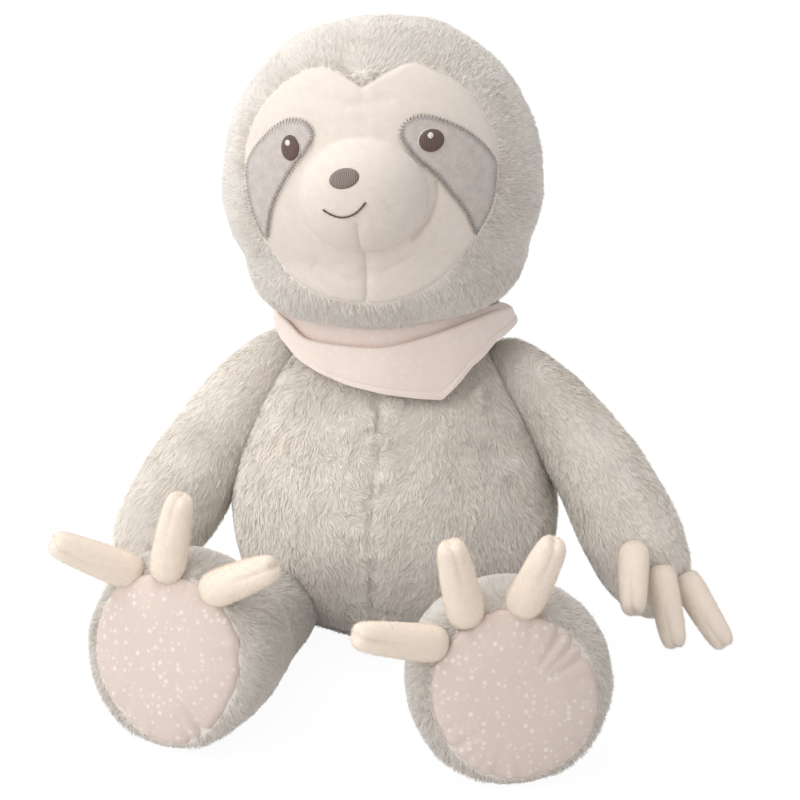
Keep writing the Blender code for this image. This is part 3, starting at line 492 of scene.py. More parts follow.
def cotton_material(name, colour_text, dot_text, dot_spacing):
    """Plain woven cotton with printed dots of many sizes: matt, with a fine thread grid.

    Threads lie 0.3 mm apart, drawn at 0.7 mm so that they show.
    """
    made, tree, shader = new_material(name, 0.85, 0.1)
    cells = add_node(
        tree, "ShaderNodeTexVoronoi",
        {"Vector": object_place(tree, dot_spacing), "Scale": 1.0, "Randomness": 1.0},
    )
    size = add_node(tree, "ShaderNodeSeparateColor", {"Color": cells.outputs["Color"]}, "Red")
    # Radii of 5 to 40 hundredths of the spacing, with blurred edges as printed ink has
    radius = add_node(
        tree, "ShaderNodeMapRange",
        {"Value": size, "From Min": 0.08, "To Min": 0.05, "To Max": 0.40}, "Result",
    )
    inside = add_node(
        tree, "ShaderNodeMath", (radius, cells.outputs["Distance"]), "Value", operation="SUBTRACT"
    )
    dot = add_node(
        tree, "ShaderNodeMapRange",
        {"Value": inside, "From Min": -0.16, "From Max": 0.26, "To Max": 0.56},
        "Result", interpolation_type="SMOOTHSTEP",
    )
    weave = add_node(
        tree, "ShaderNodeTexNoise",
        {"Vector": object_place(tree, 0.0007), "Scale": 1.0, "Detail": 1.0}, "Fac",
    )
    ends = {0: weave, 6: darker(colour_text, 0.93), 7: linear(colour_text)}
    cloth = add_node(tree, "ShaderNodeMix", ends, 2, data_type="RGBA")
    ends = {0: dot, 6: cloth, 7: linear(dot_text)}
    printed = add_node(tree, "ShaderNodeMix", ends, 2, data_type="RGBA")
    # Painted shade where the cotton rolls under at its seams
    paint_tuck_shade_and_bump(tree, shader, printed, darker(colour_text, 0.62), weave, 0.0002, 0.25)
    return made


def satin_material(name, colour_text, pitch=0.0008, roughness=0.55, dark_share=0.66):
    """Rayon thread in satin stitch: parallel rows with a soft gloss along them, painted darker in the
    grooves between them.
    """
    made, tree, shader = new_material(name, roughness, 0.1)
    place = object_place(tree, pitch)
    rows = add_node(
        tree, "ShaderNodeTexWave",
        {"Vector": place, "Scale": 0.31, "Distortion": 4.0, "Detail": 2.0}, "Fac",
    )
    # Painted light and shade: each row is lighter along its crest and darker in the groove beside it
    ends = {0: rows, 6: darker(colour_text, dark_share), 7: linear(colour_text)}
    body = add_node(tree, "ShaderNodeMix", ends, 2, data_type="RGBA")
    relief = {"Height": rows, "Distance": 0.0003, "Strength": 0.5}
    tree.links.new(body, shader.inputs["Base Color"])
    tree.links.new(add_node(tree, "ShaderNodeBump", relief, "Normal"), shader.inputs["Normal"])
    return made


def looked_at(tree):
    """1 for what the camera sees, also in gloss and through clear pieces, and 0 for light."""
    path = add_node(tree, "ShaderNodeLightPath").outputs
    rays = (path["Is Camera Ray"], path["Is Glossy Ray"])
    seen = add_node(tree, "ShaderNodeMath", rays, "Value", operation="MAXIMUM")
    rays = (seen, path["Is Transmission Ray"])
    return add_node(tree, "ShaderNodeMath", rays, "Value", operation="MAXIMUM")


def plain_stage_material(name, grey):
    """Matt paper that the camera sees as white, and that still takes the toy's shadow."""
    made = bpy.data.materials.new(name)
    made.use_nodes = True
    tree = made.node_tree
    shader = tree.nodes["Principled BSDF"]
    shader.inputs["Base Color"].default_value = (grey, grey, grey, 1.0)
    shader.inputs["Roughness"].default_value = 0.9
    shader.inputs["Specular IOR Level"].default_value = 0.0
    white = add_node(tree, "ShaderNodeEmission", {"Strength": 1.06}, "Emission")
    # The last tenth is lit paper, which shows the shadow
    seen = add_node(tree, "ShaderNodeMath", (looked_at(tree), 0.90), "Value", operation="MULTIPLY")
    both = add_node(tree, "ShaderNodeMixShader", (seen, shader.outputs["BSDF"], white), "Shader")
    tree.links.new(both, tree.nodes["Material Output"].inputs["Surface"])
    return made


cloths = {}


def make_cloths(scene):
    """Makes every material once, for the operators to take by name."""
    pile, face, cloth = scene.sloth_pile, scene.sloth_face, scene.sloth_cloth
    cloths.update(
        pile=pile_material("combed_plush_pile", pile.tip_colour, pile.root_shade_colour),
        # Painted shade: darker copies of the pile for the hood and neck, and for the legs
        hood=pile_material("hood_shaded_plush_pile", pile.hood_shade_colour, pile.hood_shade_colour),
        leg=pile_material("leg_shaded_plush_pile", pile.leg_shade_colour, pile.leg_shade_colour),
        # The backing takes the roots' painted shade colour, as it shows only in the shade between the
        # roots
        backing=backing_material("plush_knit_backing", pile.root_shade_colour),
        velour=velour_material("cream_velour", face.velour_colour),
        claw=velour_material("cream_claw_velour", face.claw_colour, 0.03),
        patch=velour_material("grey_velour", face.patch_colour, 0.13),
        cotton=cotton_material(
            "dotted_cotton", cloth.cotton_colour, cloth.dot_colour, cloth.dot_spacing
        ),
        # Painted light: the bandana takes a lighter copy of the soles' cotton
        bandana=cotton_material(
            "dotted_bandana_lit_cotton", cloth.bandana_lit_colour, cloth.dot_colour, cloth.dot_spacing
        ),
        stitch=satin_material("grey_edging_thread", face.stitch_colour, dark_share=0.86),
        eye=satin_material("brown_satin_thread", face.eye_colour, roughness=0.4),
        nose=satin_material("taupe_satin_thread", face.nose_colour, 0.0009, dark_share=0.5),
        glint=satin_material("white_satin_thread", face.glint_colour),
        fibre=fibre_material("white_stuffing_fibre", "#f2f1ee"),
        calico=backing_material("calico", "#e6dfd2"),
    )


# Shapes


def plain_object(name, mesh, material=None):
    """A new object in the scene, with its material."""
    made = bpy.data.objects.new(name, mesh)
    bpy.context.scene.collection.objects.link(made)
    if material is not None:
        mesh.materials.clear()
        mesh.materials.append(material)
    return made


def frozen(piece):
    """The piece with its modifiers applied, as a plain mesh."""
    graph = bpy.context.evaluated_depsgraph_get()
    mesh = bpy.data.meshes.new_from_object(piece.evaluated_get(graph), depsgraph=graph)
    piece.modifiers.clear()
    old = piece.data
    piece.data = mesh
    bpy.data.meshes.remove(old)
    return piece


def points_of(mesh):
    """The mesh's points as an array of x, y and z."""
    flat = np.empty(len(mesh.vertices) * 3)
    mesh.vertices.foreach_get("co", flat)
    return flat.reshape(-1, 3)


def normals_of(mesh):
    """The mesh's normals, one for each point."""
    flat = np.empty(len(mesh.vertices) * 3)
    mesh.vertices.foreach_get("normal", flat)
    return flat.reshape(-1, 3)


def set_points(mesh, points):
    """Moves the mesh's points."""
    mesh.vertices.foreach_set("co", np.asarray(points, dtype=float).ravel())
    mesh.update()


def store(mesh, name, values, kind="FLOAT"):
    """Keeps one value for each point of the mesh."""
    attribute = mesh.attributes.new(name, kind, "POINT")
    slot = "vector" if kind == "FLOAT_VECTOR" else "value"
    attribute.data.foreach_set(slot, np.asarray(values, dtype=float).ravel())


def ring_cage(name, rings, ends, sides):
    """A closed cage on rings of (centre, half axis, half axis), with a point at each end."""
    # Its corners stand out, so that its flat sides touch each ring's oval
    swell = 1.0 / math.cos(math.pi / sides)
    corners = [ends[0]]
    for centre, across, over in rings:
        for side in range(sides):
            turn = 2.0 * math.pi * (0.25 + side / sides)
            corners.append(centre + swell * (math.cos(turn) * across + math.sin(turn) * over))
    corners.append(ends[1])
    faces = []
    last = 1 + sides * (len(rings) - 1)
    for side in range(sides):
        after = (side + 1) % sides
        faces.append((0, 1 + after, 1 + side))
        for low in range(1, last, sides):
            faces.append((low + side, low + after, low + sides + after, low + sides + side))
        faces.append((last + side, last + after, last + sides))
    made = bpy.data.meshes.new(name)
    made.from_pydata(corners, [], faces)
    made.update()
    return made


def smooth_form(name, cage, levels, matrix=None):
    """A plain mesh object of the cage, rounded, with its place in its mesh."""
    piece = plain_object(name, cage)
    smooth = piece.modifiers.new("Smooth", "SUBSURF")
    smooth.levels = levels
    smooth.render_levels = levels
    frozen(piece)
    if matrix is not None:
        piece.data.transform(matrix)
        piece.data.update()
    piece.data.shade_smooth()
    return piece


def dress(piece, node, body):
    """Hides the CAD node that a piece takes the place of, if one is given, and hangs the piece on the
    body it moves with.
    """
    if node:
        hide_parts(node)
    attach(piece, body)


def opened(mesh, inside):
    """Takes away the backing that lies under the edge of another cloth, and what it covers."""
    shape = bmesh.new()
    shape.from_mesh(mesh)
    gone = [f for f in shape.faces if all(inside[v.index] > SEAM_OVERLAP for v in f.verts)]
    bmesh.ops.delete(shape, geom=gone, context="FACES")
    shape.to_mesh(mesh)
    shape.free()


def tree_of(piece):
    """The piece's surface, for finding places on it."""
    shape = bmesh.new()
    shape.from_mesh(piece.data)
    tree = BVHTree.FromBMesh(shape)
    shape.free()
    return tree


def ring(centre, half_width, half_depth):
    """A level ring for a cage."""
    return Vector(centre), Vector((half_width, 0.0, 0.0)), Vector((0.0, half_depth, 0.0))


def torso_cage(body):
    """The body, which stands on the floor."""
    rings = [
        ring(
            (0.0, forward * body.torso_half_depth, height * body.torso_height),
            width * body.torso_half_width,
            deep * body.torso_half_depth,
        )
        for height, width, deep, forward in TORSO_RING_SHARES
    ]
    ends = (Vector((0.0, rings[0][0].y, 0.0)), Vector((0.0, 0.0, body.torso_height)))
    return ring_cage("torso", rings, ends, 10)


def head_cage(body):
    """The head in its own frame, whose origin is the neck."""
    rings = []
    for height, width, deep in HEAD_RING_SHARES:
        reach = body.head_below if height < 0.0 else body.head_above
        centre = (0.0, -body.head_forward, body.head_below + height * reach)
        rings.append(ring(centre, width * body.head_half_width, deep * body.head_half_depth))
    ends = (
        Vector((0.0, -body.head_forward, 0.0)),
        Vector((0.0, -body.head_forward, body.head_below + body.head_above)),
    )
    return ring_cage("head", rings, ends, 10)


def filled_head(name, body):
    """The head in its own frame, with its chin stuffed out over the bandana."""
    piece = smooth_form(name, head_cage(body), 4)
    mesh = piece.data
    local = points_of(mesh)
    height = local[:, 2]
    # It swells by up to 11 mm below 38 mm, less at the neck and less behind
    rise = ramp((0.038 - height) / 0.022)
    full = 0.0108 * rise**2 * (3.0 - 2.0 * rise)
    full *= 1.0 - 0.30 * ramp((0.014 - height) / 0.014)
    full *= np.clip(0.85 - (local[:, 1] + body.head_forward) / 0.09, 0.2, 1.0)
    set_points(mesh, local + normals_of(mesh) * full[:, None])
    return piece


def head_matrix(body):
    """Where the head sits, and how it is tilted."""
    turn = Euler([math.radians(a) for a in (body.head_pitch, body.head_roll, body.head_yaw)])
    return Matrix.Translation(PLACES["neck_nod"]) @ turn.to_matrix().to_4x4()


def limb_rings(spine, sizes, reference):
    """Rings square to a spine: sizes are (half width, half height) and the reference points up."""
    rings = []
    for index, centre in enumerate(spine):
        before = spine[max(index - 1, 0)]
        after = spine[min(index + 1, len(spine) - 1)]
        along = (after - before).normalized()
        across = reference.cross(along).normalized()
        over = along.cross(across)
        rings.append((centre, across * sizes[index][0], over * sizes[index][1]))
    return rings


def arm_places(body, side):
    """The arm's spine and its two ends, from the shoulder."""

    def place(shares):
        return Vector((SIDE_SIGNS[side] * shares[0], shares[1], shares[2])) * body.arm_length

    spine = [place(shares) for shares in ARM_SPINE_SHARES[side]]
    return spine, [place(shares) for shares in ARM_END_SHARES[side]]


def arm_cage(body, side):
    """One arm from its shoulder, hanging forwards and out."""
    spine, ends = arm_places(body, side)
    sizes = [(part * body.arm_half_width,) * 2 for part in ARM_HALF_WIDTH_SHARES]
    rings = limb_rings(spine, sizes, Vector((0.0, -1.0, 0.0)))
    return ring_cage(f"{side}_arm", rings, ends, 8)


def leg_frame(body, side):
    """The sole's centre from the hip, and the foot's forward, inward and upward directions."""
    sign = SIDE_SIGNS[side]
    splay = math.radians(getattr(body, f"{side}_leg_splay"))
    turned = math.radians(body.foot_splay)
    tilt = math.radians(body.foot_tilt)
    drop = body.foot_half_height * math.cos(tilt) - PLACES[f"{side}_hip"].z
    reach = getattr(body, f"{side}_leg_length")
    sole = Vector((sign * math.sin(splay) * reach, -math.cos(splay) * reach, drop))
    level = Vector((sign * math.sin(turned), -math.cos(turned), 0.0))
    inward = Vector((-sign * math.cos(turned), -math.sin(turned), 0.0))
    forward = level * math.cos(tilt) + Vector((0.0, 0.0, math.sin(tilt)))
    upward = Vector((0.0, 0.0, math.cos(tilt))) - level * math.sin(tilt)
    return sole, forward, inward, upward


def leg_cage(body, side):
    """One leg from its hip, which lies on the floor and ends in a drum."""
    sole, forward, inward, _ = leg_frame(body, side)
    hip_height = PLACES[f"{side}_hip"].z
    level = Vector((forward.x, forward.y, 0.0)).normalized()
    tip = Vector((sole.x, sole.y, 0.0))
    middle = tip - level * (getattr(body, f"{side}_leg_length") / 2)
    tilt = math.radians(body.foot_tilt)

    def spine_place(along):
        return 2.0 * along * (1.0 - along) * middle + along**2 * tip

    rings = []
    for along, width, height in LEG_RING_SHARES:
        half_height = height * body.foot_half_height
        lean = tilt * along
        centre = spine_place(along)
        rise = max(half_height * math.cos(lean), hip_height * (1.0 - along))
        centre.z = rise - hip_height
        over = Vector((0.0, 0.0, math.cos(lean))) - level * math.sin(lean)
        across = -SIDE_SIGNS[side] * inward
        rings.append((centre, across * width * body.foot_half_width, over * half_height))
    ends = []
    for along, ring in zip(LEG_END_SHARES, (rings[0], rings[-1])):
        end = spine_place(along)
        end.z = ring[0].z
        ends.append(end)
    return ring_cage(f"{side}_leg", rings, ends, 8)


# Outlines on the face


def face_place(face, shares, sign=1):
    """A place on the face, in metres across and up."""
    return (
        sign * shares[0] * face.half_width,
        face.bottom + shares[1] * (face.top - face.bottom),
    )


def smooth_loop(corners, spacing, sharp_first=False):
    """A closed curve through the corners, with points this far apart, as an array."""
    points = np.array(corners)
    count = len(points)
    drawn = []
    for index in range(count):
        a, b, c, d = (points[(index + shift) % count] for shift in (-1, 0, 1, 2))
        if sharp_first and index == 0:
            a = 2.0 * b - c
        if sharp_first and index == count - 1:
            d = 2.0 * c - b
        for t in np.linspace(0.0, 1.0, 24, endpoint=False):
            drawn.append(curve_point(a, b, c, d, t))
    drawn = np.array(drawn)
    steps = np.linalg.norm(np.roll(drawn, -1, axis=0) - drawn, axis=1)
    along = np.concatenate(([0.0], np.cumsum(steps)))
    wanted = np.linspace(0.0, along[-1], max(8, int(round(along[-1] / spacing))), endpoint=False)
    closed = np.vstack((drawn, drawn[:1]))
    return np.column_stack([np.interp(wanted, along, closed[:, axis]) for axis in (0, 1)])


def inside_distance(places, loop):
    """How far each place lies inside the loop: negative outside it."""
    ends = np.roll(loop, -1, axis=0)
    best = np.full(len(places), np.inf)
    crossings = np.zeros(len(places), dtype=int)
    for a, b in zip(loop, ends):
        side = b - a
        t = np.clip(((places - a) @ side) / (side @ side), 0.0, 1.0)
        best = np.minimum(best, np.linalg.norm(places - (a + t[:, None] * side), axis=1))
        spans = (a[1] > places[:, 1]) != (b[1] > places[:, 1])
        rise = b[1] - a[1] if b[1] != a[1] else 1e-12
        meets = places[:, 0] < a[0] + (places[:, 1] - a[1]) / rise * side[0]
        crossings += (spans & meets).astype(int)
    return np.where(crossings % 2 == 1, best, -best)


def oval_loop(centre, half_width, half_height, spacing, roll=0.0):
    """An oval of points this far apart, turned by this many degrees."""
    count = max(16, int(2.0 * math.pi * max(half_width, half_height) / spacing))
    turns = np.linspace(0.0, 2.0 * math.pi, count, endpoint=False)
    roll = math.radians(roll)
    across, up = half_width * np.cos(turns), half_height * np.sin(turns)
    return np.column_stack(
        (
            centre[0] + across * math.cos(roll) - up * math.sin(roll),
            centre[1] + across * math.sin(roll) + up * math.cos(roll),
        )
    )


def sole_loop(cloth, side, grow, spacing):
    """The sole's outline on the foot's inward and upward directions, uneven as it was sewn."""
    loop = oval_loop((0.0, 0.0), cloth.sole_half_width + grow, cloth.sole_half_height + grow, spacing)
    turns, reaches = zip(*SOLE_OUTLINE_SHARES[side])
    here = np.degrees(np.arctan2(loop[:, 1], loop[:, 0])) % 360.0
    return loop * np.interp(here, turns, reaches, period=360.0)[:, None]


def grow_loop(loop, amount):
    """The loop moved outwards by this much."""
    after = np.roll(loop, -1, axis=0) - np.roll(loop, 1, axis=0)
    after /= np.maximum(np.linalg.norm(after, axis=1, keepdims=True), 1e-9)
    side = np.column_stack((after[:, 1], -after[:, 0]))
    area = np.sum(loop[:, 0] * np.roll(loop[:, 1], -1) - np.roll(loop[:, 0], -1) * loop[:, 1])
    return loop + side * (amount if area > 0.0 else -amount)


def flat_patch(loop, spacing):
    """Triangles that fill the loop: its places, its triangles and each place's distance inside."""
    low, high = loop.min(axis=0), loop.max(axis=0)
    rows = np.arange(low[1], high[1], spacing * math.sqrt(3.0) / 2.0)
    grid = []
    for number, height in enumerate(rows):
        shift = spacing / 2.0 if number % 2 else 0.0
        across = np.arange(low[0] + shift, high[0], spacing)
        grid.append(np.column_stack((across, np.full(len(across), height))))
    grid = np.vstack(grid)
    grid = grid[inside_distance(grid, loop) > 0.55 * spacing]
    places = [Vector(p) for p in np.vstack((loop, grid))]
    count = len(loop)
    edges = [(index, (index + 1) % count) for index in range(count)]
    flat, _, faces, *_ = delaunay_2d_cdt(places, edges, [], 1, 1e-7)
    flat = np.array([tuple(p) for p in flat])
    return flat, faces, np.maximum(inside_distance(flat, loop), 0.0)


def mesh_of(name, points, faces):
    """A smooth mesh of these points and faces."""
    made = bpy.data.meshes.new(name)
    made.from_pydata([tuple(p) for p in points], [], [tuple(f) for f in faces])
    made.update()
    made.shade_smooth()
    return made


class FaceSurface:
    """The front of the head with its muzzle and creases, in the head's own frame."""

    # In millimetres from the neck
    chin_seam = ((-0.8, 58.0), (-1.4, 50.0), (-1.6, 38.0), (-3.2, 14.0))
    cheek_fold = ((35.0, 73.0), (34.5, 66.0), (30.0, 56.0), (22.0, 47.0))

    def __init__(self, scene):
        self.body, self.face = scene.sloth_body, scene.sloth_face
        self.matrix = head_matrix(self.body)
        guide = filled_head("head_guide", self.body)
        self.tree = tree_of(guide)
        bpy.data.objects.remove(guide, do_unlink=True)

    def plain_depth(self, places):
        """How far forward the plain head lies at each (x, z)."""
        found = np.empty(len(places))
        for index, (x, z) in enumerate(places):
            hit, _, _, _ = self.tree.ray_cast(Vector((x, -0.5, z)), Vector((0.0, 1.0, 0.0)))
            found[index] = -hit.y if hit is not None else 0.0
        return found

    def creased(self, places, points, width):
        """1 on the line through these points in millimetres, falling to 0 away from it."""
        x, z = places[:, 0] * 1000.0, places[:, 1] * 1000.0
        line = np.array(points, dtype=float)
        best = np.full(len(x), np.inf)
        for a, b in zip(line[:-1], line[1:]):
            side = b - a
            t = np.clip(((x - a[0]) * side[0] + (z - a[1]) * side[1]) / (side @ side), 0, 1)
            best = np.minimum(best, np.hypot(x - a[0] - t * side[0], z - a[1] - t * side[1]))
        return np.exp(-((best / width) ** 2))

    def relief(self, places):
        """Creases, seams and pulls of the stuffed velour, in metres."""

        def crease(points, width, depth):
            return -depth * self.creased(places, points, width)

        drawn = crease(self.chin_seam, 0.8, 1.0)
        drawn += crease(self.chin_seam, 4.0, 1.0)
        drawn += crease([(-3.0, 33.0), (4.0, 31.0), (12.0, 33.5), (20.0, 38.0)], 1.6, 1.0)
        drawn += crease([(-2.0, 28.0), (-14.0, 29.0), (-26.0, 35.0)], 2.4, 0.7)
        # The muzzle's stuffing pulls the cloth into a fold down its left cheek
        drawn += crease(self.cheek_fold, 1.1, 1.5)
        drawn += crease(self.cheek_fold, 3.2, 0.7)
        drawn += crease([(24.0, 62.0), (20.0, 53.0), (12.0, 45.5)], 1.3, 0.6)
        drawn += crease([(13.5, 68.5), (16.0, 66.5), (19.5, 65.5)], 0.8, 0.7)
        drawn += crease([(14.0, 65.0), (17.0, 63.0), (21.0, 60.5)], 0.8, 0.7)
        drawn += crease([(-26.0, 117.0), (-12.0, 112.0), (0.0, 111.5), (14.0, 113.0)], 3.0, 0.65)
        drawn += crease([(-30.0, 108.0), (-14.0, 103.5), (4.0, 103.5)], 2.8, 0.40)
        drawn += crease([(2.0, 119.0), (1.0, 113.0), (4.0, 107.0)], 2.8, 0.35)
        return drawn / 1000.0

    def depth(self, places):
        """How far forward the finished face lies at each (x, z)."""
        face, body = self.face, self.body
        plain = self.plain_depth(places)
        front = body.head_forward + body.head_half_depth + face.muzzle_reach
        middle = front - face.muzzle_half_depth
        across = places[:, 0] / face.muzzle_half_width
        up = (places[:, 1] - face.muzzle_height) / face.muzzle_half_height
        out = np.sqrt(across**2 + up**2)
        bulge = middle + face.muzzle_half_depth * np.sqrt(np.clip(1.0 - out**2, 0.0, None))
        bulge = np.where(out < 1.0, bulge, middle - 0.05 * (out - 1.0))
        # A tighter fold round the muzzle's lower left cheek, a soft rise at its top
        turn = np.arctan2(up, across)
        soft = 0.0036 + 0.0014 * np.sin(turn) - 0.0014 * np.exp(-(((turn + 0.35) / 0.8) ** 2))
        gap = np.abs(plain - bulge)
        blend = np.clip(soft - gap, 0.0, None) ** 2 / (4.0 * soft)
        return np.maximum(plain, bulge) + blend + self.relief(places)

    def world(self, places, forward):
        """World points at these places, this far forward in the head's frame."""
        local = np.column_stack((places[:, 0], -forward, places[:, 1], np.ones(len(places))))
        return (local @ np.array(self.matrix).T)[:, :3]

    def lay(self, name, loop, spacing, lift, material, thickness, roll=0.0, roll_width=0.0015):
        """A patch of cloth on the face: it fills the loop, raised, and rolls in at its edge."""
        flat, faces, inside = flat_patch(loop, spacing)
        forward = self.depth(flat)
        rolled = ramp(1.0 - inside / roll_width) ** 2 * roll
        mesh = mesh_of(name, self.world(flat, forward), faces)
        if normals_of(mesh)[:, 1].mean() > 0.0:
            mesh.flip_normals()
        raised = points_of(mesh) + normals_of(mesh) * (lift - rolled)[:, None]
        set_points(mesh, raised)
        store(mesh, "inside", inside)
        piece = plain_object(name, mesh, material)
        thick = piece.modifiers.new("Thick", "SOLIDIFY")
        thick.thickness = thickness
        thick.offset = -1.0
        return piece

    def path(self, name, loop, lift):
        """A closed path on the face whose points hold the direction across it."""
        inner, outer = grow_loop(loop, -0.0006), grow_loop(loop, 0.0004)
        line = self.world(inner, self.depth(inner) + lift)
        across = self.world(outer, self.depth(outer) + lift) - line
        across /= np.maximum(np.linalg.norm(across, axis=1, keepdims=True), 1e-9)
        count = len(line)
        edges = [(index, (index + 1) % count) for index in range(count)]
        mesh = bpy.data.meshes.new(name)
        mesh.from_pydata([tuple(p) for p in line], edges, [])
        store(mesh, "across", across, "FLOAT_VECTOR")
        return plain_object(name, mesh)


def face_loop(face, spacing=0.001):
    """The face panel's outline, with its point over the forehead."""
    corners = [face_place(face, shares) for shares in FACE_OUTLINE_SHARES]
    return smooth_loop(corners, spacing, sharp_first=True)


def patch_loop(face, side, spacing=0.001):
    """An eye patch's outline, kept inside the face."""
    sign = SIDE_SIGNS[side]
    corners = [face_place(face, shares, sign) for shares in PATCH_OUTLINE_SHARES[side]]
    loop = smooth_loop(corners, spacing)
    # Where it would reach past the face, it is sewn into the face's seam
    seam = grow_loop(face_loop(face, 0.0005), -0.0022)
    out = inside_distance(loop, seam) < 0.0
    for index in np.flatnonzero(out):
        loop[index] = seam[np.argmin(np.linalg.norm(seam - loop[index], axis=1))]
    kept = [loop[0]]
    for place in loop[1:]:
        if min(np.linalg.norm(place - kept[-1]), np.linalg.norm(place - kept[0])) > 0.4 * spacing:
            kept.append(place)
    return np.array(kept)


# Geometry node trees


def tree_named(name, sockets):
    """A geometry node tree with these inputs, and its group nodes."""
    tree = bpy.data.node_groups.new(name, "GeometryNodeTree")
    tree.interface.new_socket("Geometry", in_out="INPUT", socket_type="NodeSocketGeometry")
    for label, kind, default in sockets:
        socket = tree.interface.new_socket(label, in_out="INPUT", socket_type=kind)
        if default is not None:
            socket.default_value = default
    tree.interface.new_socket("Geometry", in_out="OUTPUT", socket_type="NodeSocketGeometry")
    return tree, tree.nodes.new("NodeGroupInput"), tree.nodes.new("NodeGroupOutput")


def set_input(modifier, tree, label, value):
    """Sets a modifier's input by its label."""
    for item in tree.interface.items_tree:
        if item.item_type == "SOCKET" and item.in_out == "INPUT" and item.name == label:
            modifier[item.identifier] = value


def pile_tree():
    """Strands that stand on a cloth, laid along its nap and leaning together in tufts."""
    tree, given, result = tree_named(
        "combed_pile",
        (
            ("Density", "NodeSocketFloat", 1.0),
            ("Length", "NodeSocketFloat", 0.007),
            ("Width", "NodeSocketFloat", 0.0005),
            ("Lean", "NodeSocketFloat", 1.0),
            ("Tuft Size", "NodeSocketFloat", 0.003),
            ("Tuft Amount", "NodeSocketFloat", 0.8),
            ("Seed", "NodeSocketInt", 0),
            ("Material", "NodeSocketMaterial", None),
        ),
    )
    source = given.outputs
    # What the cloth keeps: the nap's run, its own normal, how long it grows, how far a seam is
    nap, normal, growth, edge = (
        add_node(
            tree, "GeometryNodeInputNamedAttribute", {"Name": label}, "Attribute", data_type=kind
        )
        for label, kind in (
            ("nap", "FLOAT_VECTOR"), ("lie", "FLOAT_VECTOR"), ("growth", "FLOAT"), ("edge", "FLOAT"),
        )
    )
    scattered = add_node(
        tree, "GeometryNodeDistributePointsOnFaces",
        {"Mesh": source["Geometry"], "Density": source["Density"], "Seed": source["Seed"]}, "Points",
    )
    off = add_node(tree, "ShaderNodeMath", (edge, 0.0), "Value", operation="LESS_THAN")
    kept = add_node(
        tree, "GeometryNodeDeleteGeometry", {"Geometry": scattered, "Selection": off}, "Geometry",
        domain="POINT",
    )

    # Tufts lean together over the tuft size, and the nap swirls over 22 mm
    place = add_node(tree, "GeometryNodeInputPosition", output="Position")
    size = add_node(tree, "ShaderNodeMath", (1.0, source["Tuft Size"]), "Value", operation="DIVIDE")
    twice = add_node(tree, "ShaderNodeMath", (source["Tuft Amount"], 2.0), "Value", operation="MULTIPLY")
    leans = []
    for per_metre, detail, amount in ((size, 1.5, twice), (SWIRLS_PER_METRE, 1.0, SWIRL_AMOUNT)):
        fine = add_node(
            tree, "ShaderNodeVectorMath", {"Vector": place, "Scale": per_metre}, "Vector",
            operation="SCALE",
        )
        cloud = add_node(
            tree, "ShaderNodeTexNoise", {"Vector": fine, "Scale": 1.0, "Detail": detail}
        ).outputs
        centred = add_node(
            tree, "ShaderNodeVectorMath", (cloud["Color"], (0.5, 0.5, 0.5)), "Vector",
            operation="SUBTRACT",
        )
        lean = add_node(
            tree, "ShaderNodeVectorMath", {"Vector": centred, "Scale": amount}, "Vector",
            operation="SCALE",
        )
        leans.append((lean, cloud["Fac"]))
    (leaning, tuft), (swirled, _) = leans
    # Loose strands, and each strand's own twist round its length
    stray, roll = (
        add_node(
            tree, "FunctionNodeRandomValue",
            {"Min": (-reach,) * 3, "Max": (reach,) * 3, "Seed": source["Seed"]}, "Value",
            data_type="FLOAT_VECTOR",
        )
        for reach in (0.08, 0.7)
    )

    # The strand's direction. Close to a seam the pile stands up, so the backing never shows
    rise, run = (
        add_node(tree, "ShaderNodeMath", (source["Lean"],), "Value", operation=part)
        for part in ("COSINE", "SINE")
    )
    laid = add_node(
        tree, "ShaderNodeMapRange",
        {"Value": edge, "From Min": 0.0, "From Max": 0.005, "To Min": 0.25, "To Max": 1.0}, "Result",
    )
    run = add_node(tree, "ShaderNodeMath", (run, laid), "Value", operation="MULTIPLY")
    direction = add_node(
        tree, "ShaderNodeVectorMath", {"Vector": normal, "Scale": rise}, "Vector", operation="SCALE"
    )
    down = add_node(
        tree, "ShaderNodeVectorMath", {"Vector": nap, "Scale": run}, "Vector", operation="SCALE"
    )
    for extra in (down, leaning, swirled, stray):
        direction = add_node(
            tree, "ShaderNodeVectorMath", (direction, extra), "Vector", operation="ADD"
        )
    direction = add_node(
        tree, "ShaderNodeVectorMath", (direction,), "Vector", operation="NORMALIZE"
    )
    # A strand never lies deeper than just above the cloth
    dot = add_node(
        tree, "ShaderNodeVectorMath", (direction, normal), "Value", operation="DOT_PRODUCT"
    )
    short = add_node(tree, "ShaderNodeMath", (LOWEST_RISE, dot), "Value", operation="SUBTRACT")
    short = add_node(tree, "ShaderNodeMath", (short, 0.0), "Value", operation="MAXIMUM")
    lifted = add_node(
        tree, "ShaderNodeVectorMath", {"Vector": normal, "Scale": short}, "Vector", operation="SCALE"
    )
    direction = add_node(
        tree, "ShaderNodeVectorMath", (direction, lifted), "Vector", operation="ADD"
    )
    upright = add_node(
        tree, "FunctionNodeAlignRotationToVector", {"Vector": direction}, "Rotation", axis="Z"
    )
    faced = add_node(tree, "ShaderNodeVectorMath", (normal, roll), "Vector", operation="ADD")
    facing = add_node(
        tree, "FunctionNodeAlignRotationToVector", {"Rotation": upright, "Vector": faced}, "Rotation",
        axis="Y", pivot_axis="Z",
    )

